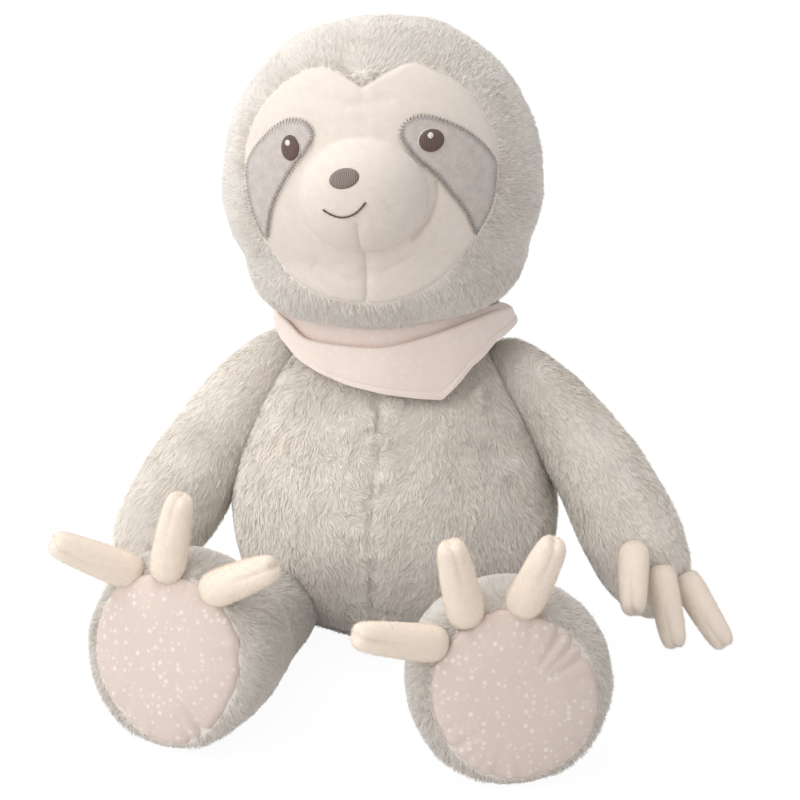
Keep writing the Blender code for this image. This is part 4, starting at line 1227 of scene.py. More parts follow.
    # The strand: one tapered leaf of two triangles, whose face turns to its normal
    leaf = add_node(
        tree, "GeometryNodeMeshGrid",
        {"Size X": 1.0, "Size Y": 1.0, "Vertices X": 2, "Vertices Y": 2}, "Mesh",
    )
    corner = add_node(tree, "ShaderNodeSeparateXYZ", {"Vector": place}).outputs
    rise = add_node(tree, "ShaderNodeMath", (corner["Y"], 0.5), "Value", operation="ADD")
    taper = add_node(tree, "ShaderNodeMath", (rise, STRAND_TAPER), "Value", operation="MULTIPLY")
    taper = add_node(tree, "ShaderNodeMath", (1.0, taper), "Value", operation="SUBTRACT")
    across = add_node(tree, "ShaderNodeMath", (corner["X"], -1.0), "Value", operation="MULTIPLY")
    across = add_node(tree, "ShaderNodeMath", (across, taper), "Value", operation="MULTIPLY")
    shaped = add_node(tree, "ShaderNodeCombineXYZ", {"X": across, "Z": rise}, "Vector")
    marked = add_node(
        tree, "GeometryNodeStoreNamedAttribute", {"Geometry": leaf, "Name": "rise", "Value": rise},
        "Geometry", data_type="FLOAT", domain="POINT",
    )
    strand = add_node(
        tree, "GeometryNodeSetPosition", {"Geometry": marked, "Position": shaped}, "Geometry"
    )

    # Its length: every strand its own, shorter at a seam, and tufts stand higher or lower
    varied = add_node(
        tree, "FunctionNodeRandomValue", {2: 0.80, 3: 1.08, "Seed": source["Seed"]}, 1,
        data_type="FLOAT",
    )
    trimmed = add_node(
        tree, "ShaderNodeMapRange",
        {"Value": edge, "From Min": 0.0, "From Max": 0.007, "To Min": 0.85, "To Max": 1.0}, "Result",
    )
    height = add_node(
        tree, "ShaderNodeMapRange",
        {"Value": tuft, "From Min": 0.35, "From Max": 0.65, "To Min": 0.86, "To Max": 1.08}, "Result",
    )
    own = add_node(tree, "ShaderNodeMath", (varied, height), "Value", operation="MULTIPLY")
    long = add_node(tree, "ShaderNodeMath", (source["Length"], own), "Value", operation="MULTIPLY")
    cut = add_node(tree, "ShaderNodeMath", (trimmed, growth), "Value", operation="MULTIPLY")
    long = add_node(tree, "ShaderNodeMath", (long, cut), "Value", operation="MULTIPLY")
    scale = add_node(
        tree, "ShaderNodeCombineXYZ", {"X": source["Width"], "Y": source["Width"], "Z": long}, "Vector"
    )

    # Its tone varies at random from strand to strand, and is painted darker in the hollows between
    # tufts, where shade falls
    seed = add_node(tree, "ShaderNodeMath", (source["Seed"], 5.0), "Value", operation="ADD")
    tone = add_node(
        tree, "FunctionNodeRandomValue", {2: 0.0, 3: 0.4, "Seed": seed}, 1, data_type="FLOAT"
    )
    tuft_shade = add_node(
        tree, "ShaderNodeMapRange",
        {"Value": tuft, "From Min": 0.36, "From Max": 0.60, "To Min": 0.0, "To Max": 0.6}, "Result",
    )
    tone = add_node(tree, "ShaderNodeMath", (tone, tuft_shade), "Value", operation="ADD")
    toned = add_node(
        tree, "GeometryNodeStoreNamedAttribute", {"Geometry": kept, "Name": "tone", "Value": tone},
        "Geometry", data_type="FLOAT", domain="POINT",
    )
    planted = add_node(
        tree, "GeometryNodeInstanceOnPoints",
        {"Points": toned, "Instance": strand, "Rotation": facing, "Scale": scale}, "Instances",
    )
    real = add_node(tree, "GeometryNodeRealizeInstances", {"Geometry": planted}, "Geometry")
    tone_there, rise_there = (
        add_node(
            tree, "GeometryNodeInputNamedAttribute", {"Name": label}, "Attribute", data_type="FLOAT"
        )
        for label in ("tone", "rise")
    )
    pair = add_node(tree, "ShaderNodeCombineXYZ", {"X": tone_there, "Y": rise_there}, "Vector")
    mapped = add_node(
        tree, "GeometryNodeStoreNamedAttribute", {"Geometry": real, "Name": "OFBake", "Value": pair},
        "Geometry", data_type="FLOAT2", domain="CORNER",
    )
    # Fine fibres scatter light as one soft surface, so a strand is shaded mostly by its cloth
    bare = add_node(tree, "GeometryNodeInputNormal", output="Normal")
    soft = normal
    for lean, amount in ((bare, 0.12), (leaning, 0.7), (swirled, 0.35)):
        part = add_node(
            tree, "ShaderNodeVectorMath", {"Vector": lean, "Scale": amount}, "Vector",
            operation="SCALE",
        )
        soft = add_node(tree, "ShaderNodeVectorMath", (soft, part), "Vector", operation="ADD")
    soft = add_node(tree, "ShaderNodeVectorMath", (soft,), "Vector", operation="NORMALIZE")
    shaded = add_node(
        tree, "GeometryNodeSetMeshNormal", {"Mesh": mapped, "Custom Normal": soft}, "Mesh",
        mode="FREE", domain="POINT",
    )
    dressed = {"Geometry": shaded, "Material": source["Material"]}
    dressed = add_node(tree, "GeometryNodeSetMaterial", dressed, "Geometry")
    tree.links.new(dressed, result.inputs["Geometry"])
    return tree


def stitch_tree():
    """A zigzag of thread along a path whose points hold the direction across it."""
    tree, given, result = tree_named(
        "zigzag_stitches",
        (
            ("Pitch", "NodeSocketFloat", 0.001),
            ("Reach", "NodeSocketFloat", 0.0016),
            ("Thread", "NodeSocketFloat", 0.0003),
            ("Material", "NodeSocketMaterial", None),
        ),
    )
    source = given.outputs
    across = add_node(
        tree, "GeometryNodeInputNamedAttribute", {"Name": "across"}, "Attribute",
        data_type="FLOAT_VECTOR",
    )
    path = add_node(tree, "GeometryNodeMeshToCurve", {"Mesh": source["Geometry"]}, "Curve")
    even = add_node(
        tree, "GeometryNodeResampleCurve", {"Curve": path, "Length": source["Pitch"]}, "Curve",
        mode="LENGTH",
    )
    # Every second point swings in and the others out
    index = add_node(tree, "GeometryNodeInputIndex", output="Index")
    swing = add_node(tree, "ShaderNodeMath", (index, 2.0), "Value", operation="MODULO")
    swing = add_node(tree, "ShaderNodeMath", (swing, 2.0), "Value", operation="MULTIPLY")
    swing = add_node(tree, "ShaderNodeMath", (swing, 1.0), "Value", operation="SUBTRACT")
    swing = add_node(tree, "ShaderNodeMath", (swing, source["Reach"]), "Value", operation="MULTIPLY")
    offset = add_node(
        tree, "ShaderNodeVectorMath", {"Vector": across, "Scale": swing}, "Vector", operation="SCALE"
    )
    moved = add_node(tree, "GeometryNodeSetPosition", {"Geometry": even, "Offset": offset}, "Geometry")
    section = {"Resolution": 6, "Radius": source["Thread"]}
    section = add_node(tree, "GeometryNodeCurvePrimitiveCircle", section, "Curve")
    thread = {"Curve": moved, "Profile Curve": section, "Fill Caps": True}
    thread = add_node(tree, "GeometryNodeCurveToMesh", thread, "Mesh")
    real = add_node(tree, "GeometryNodeRealizeInstances", {"Geometry": thread}, "Geometry")
    dressed = {"Geometry": real, "Material": source["Material"]}
    dressed = add_node(tree, "GeometryNodeSetMaterial", dressed, "Geometry")
    tree.links.new(dressed, result.inputs["Geometry"])
    return tree


def grown(name, backing, count_share, seed, scene, stretch=1.0, thin=1.0, lean=None, cloth="pile"):
    """One layer of pile on the backing, as a plain mesh."""
    pile = scene.sloth_pile
    tree = bpy.data.node_groups.get("combed_pile") or pile_tree()
    piece = plain_object(name, backing.data.copy())
    modifier = piece.modifiers.new("Pile", "NODES")
    modifier.node_group = tree
    for label, value in (
        ("Density", pile.density * 1e6 * count_share),
        ("Length", pile.strand_length * stretch),
        ("Width", pile.strand_width * thin),
        ("Lean", math.radians(pile.lean if lean is None else lean)),
        ("Tuft Size", pile.tuft_size),
        ("Tuft Amount", pile.tuft_amount),
        ("Seed", pile.seed + seed),
        ("Material", cloths[cloth]),
    ):
        set_input(modifier, tree, label, value)
    return frozen(piece)


def ruffled(points, size, amount):
    """Directions that wander over the cloth, as where a hand has stroked the pile."""
    # Without a seed Blender's noise starts elsewhere in each run
    noise.seed_set(RUFFLE_SEED)
    drawn = [noise.noise_vector(Vector(point) / size) for point in points]
    return np.array([tuple(v) for v in drawn]) * np.asarray(amount).reshape(-1, 1)


def flattened(vectors, normals):
    """Directions laid flat on the surface, one metre long."""
    flat = vectors - normals * np.sum(vectors * normals, axis=1, keepdims=True)
    size = np.linalg.norm(flat, axis=1, keepdims=True)
    return flat / np.maximum(size, 1e-9)


def mark_pile(piece, flow, inset, edge=None, growth=None):
    """Sets the backing below the pile's surface and keeps the pile's lay on it."""
    mesh = piece.data
    normals = normals_of(mesh)
    set_points(mesh, points_of(mesh) - normals * inset)
    count = len(mesh.vertices)
    store(mesh, "nap", flattened(flow, normals), "FLOAT_VECTOR")
    store(mesh, "lie", normals, "FLOAT_VECTOR")
    store(mesh, "edge", np.full(count, 1.0) if edge is None else edge)
    store(mesh, "growth", np.full(count, 1.0) if growth is None else growth)


def raised_off_floor(piece):
    """Keeps the cloth just above the floor."""
    points = points_of(piece.data)
    points[:, 2] = np.maximum(points[:, 2], FLOOR_CLEARANCE)
    set_points(piece.data, points)


def pile_layers(name, backing, body, layers, scene, count_share=1.0, **options):
    """The pile of one piece, in layers that each stay a moderate size."""
    for number in range(layers):
        layer_name = f"{name}_pile_{number + 1}"
        layer = grown(layer_name, backing, count_share / layers, 11 * number, scene, **options)
        dress(layer, None, body)


def stuffing(name, cage, inset, matrix, body, node):
    """The fibre inside a piece, a little smaller than its cloth."""
    piece = smooth_form(name, cage, 2, matrix)
    mesh = piece.data
    set_points(mesh, points_of(mesh) - normals_of(mesh) * inset)
    mesh.materials.append(cloths["fibre"])
    dress(piece, node, body)


class SLOTH_OT_torso(bpy.types.Operator):
    """Makes the body: backing cloth, pile and stuffing, and dresses the seat bag in calico"""

    bl_idname = "sloth.torso"
    bl_label = "Body"

    def execute(self, context):
        scene = context.scene
        body, pile = scene.sloth_body, scene.sloth_pile
        piece = smooth_form("torso_cloth", torso_cage(body), 4)
        mesh = piece.data
        points = points_of(mesh)
        # Combed down, and drawn in to the middle seam over the belly
        flow = np.zeros_like(points)
        flow[:, 2] = -1.0
        front = points[:, 1] < 0.0
        toward = -np.sign(points[:, 0]) * np.exp(-np.abs(points[:, 0]) / 0.045)
        flow[:, 0] = np.where(front, 0.60 * toward, 0.0)
        # The seam wavers by 1 mm, and the nap is ruffled most where both halves meet over it
        off_seam = np.abs(points[:, 0] - 0.001 - 0.0010 * np.sin(points[:, 2] / 0.008))
        meet = np.exp(-off_seam / 0.020) * front
        flow += ruffled(points, 0.008, 0.6 + 2.8 * meet)
        # Under the seat it lies outwards, and is worn short where it stands
        low = points[:, 2] < 0.012
        outward = points * np.array((1.0, 1.0, 0.0))
        flow = np.where(low[:, None], outward / 0.06, flow)
        growth = np.where(points[:, 2] < 0.006, 0.35, 1.0)
        seam = bell(off_seam, 0.0028) * front
        growth *= 1.0 - 0.45 * seam
        # The seam is drawn in by 2 mm, and puckers the cloth beside it
        puckers = 0.0005 * np.sin(points[:, 2] / 0.0021) * np.exp(-off_seam / 0.010) * front
        set_points(mesh, points - normals_of(mesh) * (0.0021 * seam + puckers)[:, None])
        mark_pile(piece, flow, pile.inset, growth=growth)
        raised_off_floor(piece)
        mesh.materials.append(cloths["backing"])
        pile_layers("torso", piece, "torso", 3, scene)
        dress(piece, "torso_skin", "torso")
        stuffing("torso_stuffing", torso_cage(body), 0.006, None, "torso", "torso_filling")
        bag = frame["nodes"]["pellet_bag"]
        bag.data.materials.clear()
        bag.data.materials.append(cloths["calico"])
        return {"FINISHED"}


class SLOTH_OT_head(bpy.types.Operator):
    """Makes the head's hood, its pile and its stuffing, and the neck"""

    bl_idname = "sloth.head"
    bl_label = "Head"

    def execute(self, context):
        scene = context.scene
        body, pile, face = scene.sloth_body, scene.sloth_pile, scene.sloth_face
        matrix = head_matrix(body)
        piece = filled_head("head_cloth", body)
        mesh = piece.data
        local = points_of(mesh)
        flat = local[:, (0, 2)]
        front = local[:, 1] < -body.head_forward
        inside = np.where(front, inside_distance(flat, face_loop(face, 0.002)), -1.0)
        edge = -inside + 0.0002
        # The nap runs away from the face, and down to the peak over the forehead
        middle = np.array((0.0, 0.075))
        away = flat - middle
        away /= np.maximum(np.linalg.norm(away, axis=1, keepdims=True), 1e-6)
        flow = np.column_stack((away[:, 0], np.full(len(flat), 0.55), away[:, 1]))
        # It turns down gradually over the crown and the sides
        back = eased((local[:, 1] + 0.030) / 0.060)[:, None]
        flow = flow * (1.0 - back) + np.array((0.0, 0.35, -1.0)) * back
        # Over the peak it parts along the middle seam and turns down to the tip
        crown = bell(flat[:, 0], 0.020) * front * ramp((flat[:, 1] - 0.10) / 0.01)
        fall = ramp((0.134 - flat[:, 1]) / 0.010)
        flow[:, 0] += crown * 0.5 * np.tanh(flat[:, 0] / 0.004)
        flow[:, 2] -= crown * 1.9 * fall
        chin = front & (flat[:, 1] < 0.024)
        flow = np.where(chin[:, None], np.array((0.0, 0.2, -1.0)) + 0.35 * flow, flow)
        turn = np.array(matrix)[:3, :3]
        piece.data.transform(matrix)
        piece.data.update()
        mark_pile(piece, flow @ turn.T, pile.inset, edge=edge)
        opened(mesh, inside)
        mesh.materials.append(cloths["backing"])
        # The hood's pile is its darker copy: painted shade
        pile_layers("head", piece, "head", 3, scene, cloth="hood")
        dress(piece, "head_hood", "head")
        stuffing("head_stuffing", head_cage(body), 0.007, matrix, "head", "head_filling")

        neck = PLACES["neck_turn"]
        rings = [
            ring(neck + Vector((0.0, forward, rise)), wide, 0.76 * wide)
            for rise, wide, forward in (
                (-0.016, 0.047, 0.0), (-0.002, 0.0555, -0.001), (0.013, 0.054, -0.004),
            )
        ]
        ends = (neck + Vector((0.0, 0.0, -0.022)), neck + Vector((0.0, -0.004, 0.022)))
        collar = smooth_form("neck_cloth", ring_cage("neck", rings, ends, 12), 3)
        flow = np.tile(np.array((0.0, 0.0, -1.0)), (len(collar.data.vertices), 1))
        mark_pile(collar, flow, pile.inset)
        collar.data.materials.append(cloths["backing"])
        # The neck's pile takes the hood's darker copy: painted shade
        pile_layers("neck", collar, "neck", 1, scene, 0.55, cloth="hood")
        dress(collar, "neck_filling", "neck")
        return {"FINISHED"}


class SLOTH_OT_face(bpy.types.Operator):
    """Makes the velour face, its eye patches and its embroidery"""

    bl_idname = "sloth.face"
    bl_label = "Face"

    def execute(self, context):
        scene = context.scene
        face = scene.sloth_face
        surface = FaceSurface(scene)

        panel = surface.lay(
            "face_velour", grow_loop(face_loop(face), 0.0008), face.spacing, 0.0, cloths["velour"],
            0.0012, roll=0.0030, roll_width=0.0045,
        )
        inside = np.empty(len(panel.data.vertices))
        panel.data.attributes["inside"].data.foreach_get("value", inside)
        # Painted shade of the seam: at the edge, and weaker along the chin's seam and the cheek's fold
        matrix = np.array(surface.matrix)
        local = points_of(panel.data) @ matrix[:3, :3]
        local -= matrix[:3, 3] @ matrix[:3, :3]
        places = local[:, (0, 2)]
        tuck_shade = ramp(1.0 - inside / 0.0020) ** 1.5
        tuck_shade = np.maximum(tuck_shade, 0.24 * surface.creased(places, surface.chin_seam, 0.40))
        tuck_shade = np.maximum(tuck_shade, 0.16 * surface.creased(places, surface.cheek_fold, 0.7))
        store(panel.data, "tuck_shade", tuck_shade)
        dress(frozen(panel), "face_panel", "head")

        stitches = bpy.data.node_groups.get("zigzag_stitches") or stitch_tree()
        for side, sign in SIDE_SIGNS.items():
            loop = patch_loop(face, side)
            patch = surface.lay(
                f"{side}_eye_velour", loop, 0.0012, 0.0009, cloths["patch"], 0.0008,
                roll=0.0005, roll_width=0.0024,
            )
            dress(frozen(patch), f"{side}_eye_patch", "head")

            path = surface.path(f"{side}_patch_stitches", loop, 0.0010)
            modifier = path.modifiers.new("Stitches", "NODES")
            modifier.node_group = stitches
            for label, value in (
                ("Pitch", 0.00090), ("Reach", 0.0016), ("Thread", 0.00036),
                ("Material", cloths["stitch"]),
            ):
                set_input(modifier, stitches, label, value)
            dress(frozen(path), None, "head")

            # The eye: a rim of the patch's velour round satin stitch, and a glint on it
            middle = (sign * face.eye_out, face.eye_height)
            wide, tall = (1.13, 0.90) if side == "left" else (0.94, 1.02)
            wide, tall = wide * face.eye_half_width, tall * face.eye_half_height
            rim = surface.lay(
                f"{side}_eye_rim", oval_loop(middle, wide + 0.0009, tall + 0.0009, 0.0006),
                0.0008, 0.0015, cloths["patch"], 0.0006, roll=0.0010, roll_width=0.0012,
            )
            dress(frozen(rim), None, "head")
            eye = surface.lay(
                f"{side}_eye_thread", oval_loop(middle, wide, tall, 0.0005),
                0.0006, 0.0023, cloths["eye"], 0.0008, roll=0.0009, roll_width=0.0030,
            )
            dress(frozen(eye), f"{side}_eye", "head")
            glint_middle = (middle[0] - 0.0006, middle[1] + 0.0021)
            glint = surface.lay(
                f"{side}_glint_thread", oval_loop(glint_middle, 0.0013, 0.0014, 0.0003),
                0.0004, 0.0029, cloths["glint"], 0.0005, roll=0.0004, roll_width=0.0010,
            )
            dress(frozen(glint), f"{side}_eye_glint", "head")

        oval = oval_loop(
            (face.nose_aside, face.nose_height), face.nose_half_width, face.nose_half_height,
            0.0006, 9.0,
        )
        nose = surface.lay(
            "nose_thread", oval, 0.0007, 0.0010, cloths["nose"], 0.0008,
            roll=0.0009, roll_width=0.0022,
        )
        dress(frozen(nose), "nose", "head")

        # The mouth hangs below the nose, turned by 8 degrees as the nose is
        turns = np.linspace(-1.0, 1.0, 41)
        across = turns * face.mouth_half_width
        rise = face.mouth_sag * turns**2
        roll = math.radians(8.0)
        places = np.column_stack(
            (
                face.nose_aside + across * math.cos(roll) - rise * math.sin(roll),
                face.mouth_height + across * math.sin(roll) + rise * math.cos(roll),
            )
        )
        line = surface.world(places, surface.depth(places) + 0.0004)
        curve = bpy.data.curves.new("mouth_thread", "CURVE")
        curve.dimensions = "3D"
        curve.bevel_depth = face.mouth_thread
        curve.bevel_resolution = 2
        curve.use_fill_caps = True
        spline = curve.splines.new("POLY")
        spline.points.add(len(line) - 1)
        for number, (point, place) in enumerate(zip(spline.points, line)):
            point.co = (*place, 1.0)
            # Back stitches: the thread narrows where it goes down into the cloth
            point.radius = 0.72 + 0.28 * abs(math.sin(math.pi * number / 4.0))
        drawn = plain_object("mouth_curve", curve)
        graph = context.evaluated_depsgraph_get()
        mesh = bpy.data.meshes.new_from_object(drawn.evaluated_get(graph))
        bpy.data.objects.remove(drawn, do_unlink=True)
        mouth = plain_object("mouth_thread", mesh, cloths["eye"])
        dress(frozen(mouth), "mouth", "head")
        return {"FINISHED"}


class SLOTH_OT_arms(bpy.types.Operator):
    """Makes both arms with their pile and stuffing"""

    bl_idname = "sloth.arms"
    bl_label = "Arms"

    def execute(self, context):
        scene = context.scene
        body, pile = scene.sloth_body, scene.sloth_pile
        for side in SIDE_SIGNS:
            shoulder = PLACES[f"{side}_shoulder"]
            matrix = Matrix.Translation(shoulder)
            piece = smooth_form(f"{side}_arm_cloth", arm_cage(body, side), 4, matrix)
            points = points_of(piece.data)
            spine, _ = arm_places(body, side)
            line = np.array([tuple(p + shoulder) for p in spine])
            # Combed towards the hand
            ahead = np.gradient(line, axis=0)
            apart = np.linalg.norm(points[:, None, :] - line[None, :, :], axis=2)
            flow = ahead[np.argmin(apart, axis=1)]
            flow /= np.linalg.norm(flow, axis=1, keepdims=True)
            if side == "left":
                # A cowlick on the shoulder, where the nap stands out from one point
                centre = np.array((0.0745, -0.022, 0.146))
                away = points - centre
                far = np.linalg.norm(away, axis=1, keepdims=True)
                pull = bell(far, 0.014)
                flow = flow * (1.0 - pull) + away / np.maximum(far, 1e-6) * pull * 1.5
            mark_pile(piece, flow, pile.inset)
            piece.data.materials.append(cloths["backing"])
            pile_layers(f"{side}_arm", piece, f"{side}_arm", 1, scene)
            dress(piece, f"{side}_arm_skin", f"{side}_arm")
            stuffing(
                f"{side}_arm_stuffing", arm_cage(body, side), 0.006, matrix,
                f"{side}_arm", f"{side}_arm_filling",
            )
        return {"FINISHED"}


class SLOTH_OT_legs(bpy.types.Operator):
    """Makes both legs with their pile, stuffing and cotton soles"""

    bl_idname = "sloth.legs"
    bl_label = "Legs"

    def execute(self, context):
        scene = context.scene
        body, pile, cloth = scene.sloth_body, scene.sloth_pile, scene.sloth_cloth
        for side in SIDE_SIGNS:
            hip = PLACES[f"{side}_hip"]
            matrix = Matrix.Translation(hip)
            guide = smooth_form(f"{side}_leg_guide", leg_cage(body, side), 4, matrix)
            surface = tree_of(guide)
            bpy.data.objects.remove(guide, do_unlink=True)
            piece = smooth_form(f"{side}_leg_cloth", leg_cage(body, side), 4, matrix)
            points = points_of(piece.data)
            sole, forward, inward, upward = leg_frame(body, side)
            middle = np.array(hip + sole)
            ahead, aside, above = (np.array(v) for v in (forward, inward, upward))
            from_sole = points - middle
            flat = np.column_stack((from_sole @ aside, from_sole @ above))
            loop = sole_loop(cloth, side, 0.0, 0.002)
            front = from_sole @ ahead > -0.014
            inside = np.where(front, inside_distance(flat, loop), -1.0)
            # Combed down the leg, away from the sole round the drum
            flow = np.tile(-ahead, (len(points), 1))
            flow += 0.9 * np.array((0.0, 0.0, -1.0))
            growth = np.where(points[:, 2] < 0.006, 0.4, 1.0)
            mark_pile(piece, flow, pile.inset, edge=-inside - 0.0002, growth=growth)
            raised_off_floor(piece)
            opened(piece.data, inside)
            piece.data.materials.append(cloths["backing"])
            # The legs' pile is a darker copy: painted shade
            pile_layers(f"{side}_leg", piece, f"{side}_leg", 2, scene, cloth="leg")
            dress(piece, f"{side}_leg_skin", f"{side}_leg")
            stuffing(
                f"{side}_leg_stuffing", leg_cage(body, side), 0.006, matrix,
                f"{side}_leg", f"{side}_leg_filling",
            )
            self.sole(side, surface, middle, ahead, aside, above, cloth)
        return {"FINISHED"}

    def sole(self, side, surface, middle, ahead, aside, above, cloth):
        """The cotton oval, puffed by the stuffing and gathered at its seam."""
        loop = sole_loop(cloth, side, 0.0008, 0.0011)
        flat, faces, inside = flat_patch(loop, 0.0012)
        places = []
        for across, up in flat:
            start = middle + ahead * 0.08 + aside * across + above * up
            hit, _, _, _ = surface.ray_cast(Vector(start), Vector(-ahead))
            places.append(tuple(hit) if hit is not None else tuple(start - ahead * 0.09))
        mesh = mesh_of(f"{side}_sole_cotton", np.array(places), faces)
        if (normals_of(mesh) @ ahead).mean() < 0.0:
            mesh.flip_normals()
        turn = np.arctan2(flat[:, 1], flat[:, 0])
        puff = 0.0026 * ramp(inside / 0.018) ** 0.7
        rolled = 0.0032 * ramp(1.0 - inside / 0.0040) ** 2
        # About 31 uneven gathers, which fade 6 mm in from the seam
        gathers = np.sin(turn * 31.0 + 1.7 * np.sin(turn * 5.0)) + 0.6 * np.sin(turn * 17.0)
        gathers *= 0.00042 * np.exp(-inside / 0.006)
        # A few deeper pulls run in from the seam
        for aim, wide, depth, run in SOLE_PULLS[side]:
            apart = np.degrees(np.abs(np.angle(np.exp(1j * (turn - math.radians(aim))))))
            fade = (apart / (1.25 * wide)) ** 2
            gathers -= 0.0019 * depth * np.exp(-fade - (inside / (0.0010 * run)) ** 1.5)
        set_points(mesh, points_of(mesh) + normals_of(mesh) * (puff - rolled + gathers)[:, None])
        # Painted shade where the cotton rolls under at its seam
        store(mesh, "tuck_shade", ramp(1.0 - inside / 0.0017) ** 1.5)
        piece = plain_object(f"{side}_sole_cotton", mesh, cloths["cotton"])
        thick = piece.modifiers.new("Thick", "SOLIDIFY")
        thick.thickness = 0.0006
        thick.offset = -1.0
        dress(frozen(piece), f"{side}_sole", f"{side}_leg")


class SLOTH_OT_claws(bpy.types.Operator):
    """Makes the twelve stuffed velour claws"""

    bl_idname = "sloth.claws"
    bl_label = "Claws"

    def execute(self, context):
        body = context.scene.sloth_body
        joints = {joint["child"]: joint for joint in frame["joints"]}
        for name in CLAW_NAMES:
            scale = body.hand_claw_scale if "hand" in name else 1.0
            joint = joints[name]
            place = Vector(joint["pos_m"])
            hinge = Vector(joint["axis"]).normalized()
            along = claw_direction(name, place, hinge)
            over = along.cross(hinge)
            matrix = Matrix.Translation(place) @ Matrix((hinge, over, along)).transposed().to_4x4()
            self.claw(name, body, scale, matrix)
        return {"FINISHED"}

    def claw(self, name, body, scale, matrix):
        """One claw, stuffed and seamed, with its short nap."""
        reach = body.claw_length * scale
        half_width = body.claw_half_width * scale
        rings = [
            ring(
                (0.0, CLAW_BEND * reach * along**2, along * reach),
                width * half_width,
                0.90 * width * half_width,
            )
            for along, width in CLAW_RING_SHARES
        ]
        ends = (Vector((0.0, 0.0, -0.0097 * scale)), Vector((0.0, CLAW_BEND * reach, reach)))
        piece = smooth_form(f"{name}_velour", ring_cage(name, rings, ends, 7), 3)
        mesh = piece.data
        points, normals = points_of(mesh), normals_of(mesh)
        along = points[:, 2] / reach
        # The seam runs up the front and pinches the tip
        strength = ramp((along - 0.35) / 0.35)
        front = normals[:, 1] < 0.35
        seam = bell(points[:, 0], 0.12 * half_width) * 0.0004
        wide = bell(points[:, 0], 0.42 * half_width) * 0.0005
        notch = ramp((along - 0.88) / 0.12) * 0.0009
        notch *= bell(points[:, 0], 0.24 * half_width)
        set_points(mesh, points - normals * ((seam + wide) * strength * front + notch)[:, None])
        # Painted shade: in the seam's groove, and at the root where the claw sinks into the foot
        seam_shade = 0.16 * bell(points[:, 0], 0.10 * half_width) * strength * front
        store(mesh, "tuck_shade", np.maximum(seam_shade, 0.3 * ramp(1.0 - (along + 0.18) / 0.14)))
        mesh.transform(matrix)
        mesh.update()
        mesh.materials.append(cloths["claw"])
        # Their velour is brushed up into a short nap, which blurs the outline
        toward_tip = np.tile(np.array(matrix)[:3, 2], (len(mesh.vertices), 1))
        mark_pile(piece, toward_tip, 0.0003)
        nap = grown(f"{name}_nap", piece, 1.3, 3, bpy.context.scene, 0.36, 0.45, 56.0, "claw")
        dress(nap, None, name)
        dress(piece, name, name)


def claw_direction(name, place, hinge):
    """The claw's own direction: square to its hinge, through the far end of its solid."""
    points = points_of(frame["nodes"][name].data)
    away = points - np.array(place)
    far = np.linalg.norm(away, axis=1)
    tip = Vector(away[far > 0.93 * far.max()].mean(axis=0))
    tip -= hinge * tip.dot(hinge)
    # The tip bends back from the claw's own line
    back = math.atan(CLAW_BEND)
    return (Matrix.Rotation(back, 3, hinge) @ tip.normalized()).normalized()


def bandana_shares_at(turn_deg):
    """The bandana's heights, reaches and fold at this turn from the front, eased between keys."""
    keys, rows = np.array(BANDANA_TURNS_DEG, dtype=float), np.array(BANDANA_SHARES)
    spot = int(np.clip(np.searchsorted(keys, turn_deg) - 1, 0, len(keys) - 2))
    mix = (turn_deg - keys[spot]) / (keys[spot + 1] - keys[spot])
    before, after = rows[spot], rows[spot + 1]
    # The first and last rows are the same place, so a neighbour past them comes from the other end
    left = rows[spot - 1] if spot else rows[-2]
    right = rows[spot + 2] if spot + 2 < len(rows) else rows[1]
    smooth = curve_point(left, before, after, right, mix)
    straight = before + (after - before) * mix
    blended = 0.5 * smooth + 0.5 * straight
    blended[0] = straight[0]
    return blended


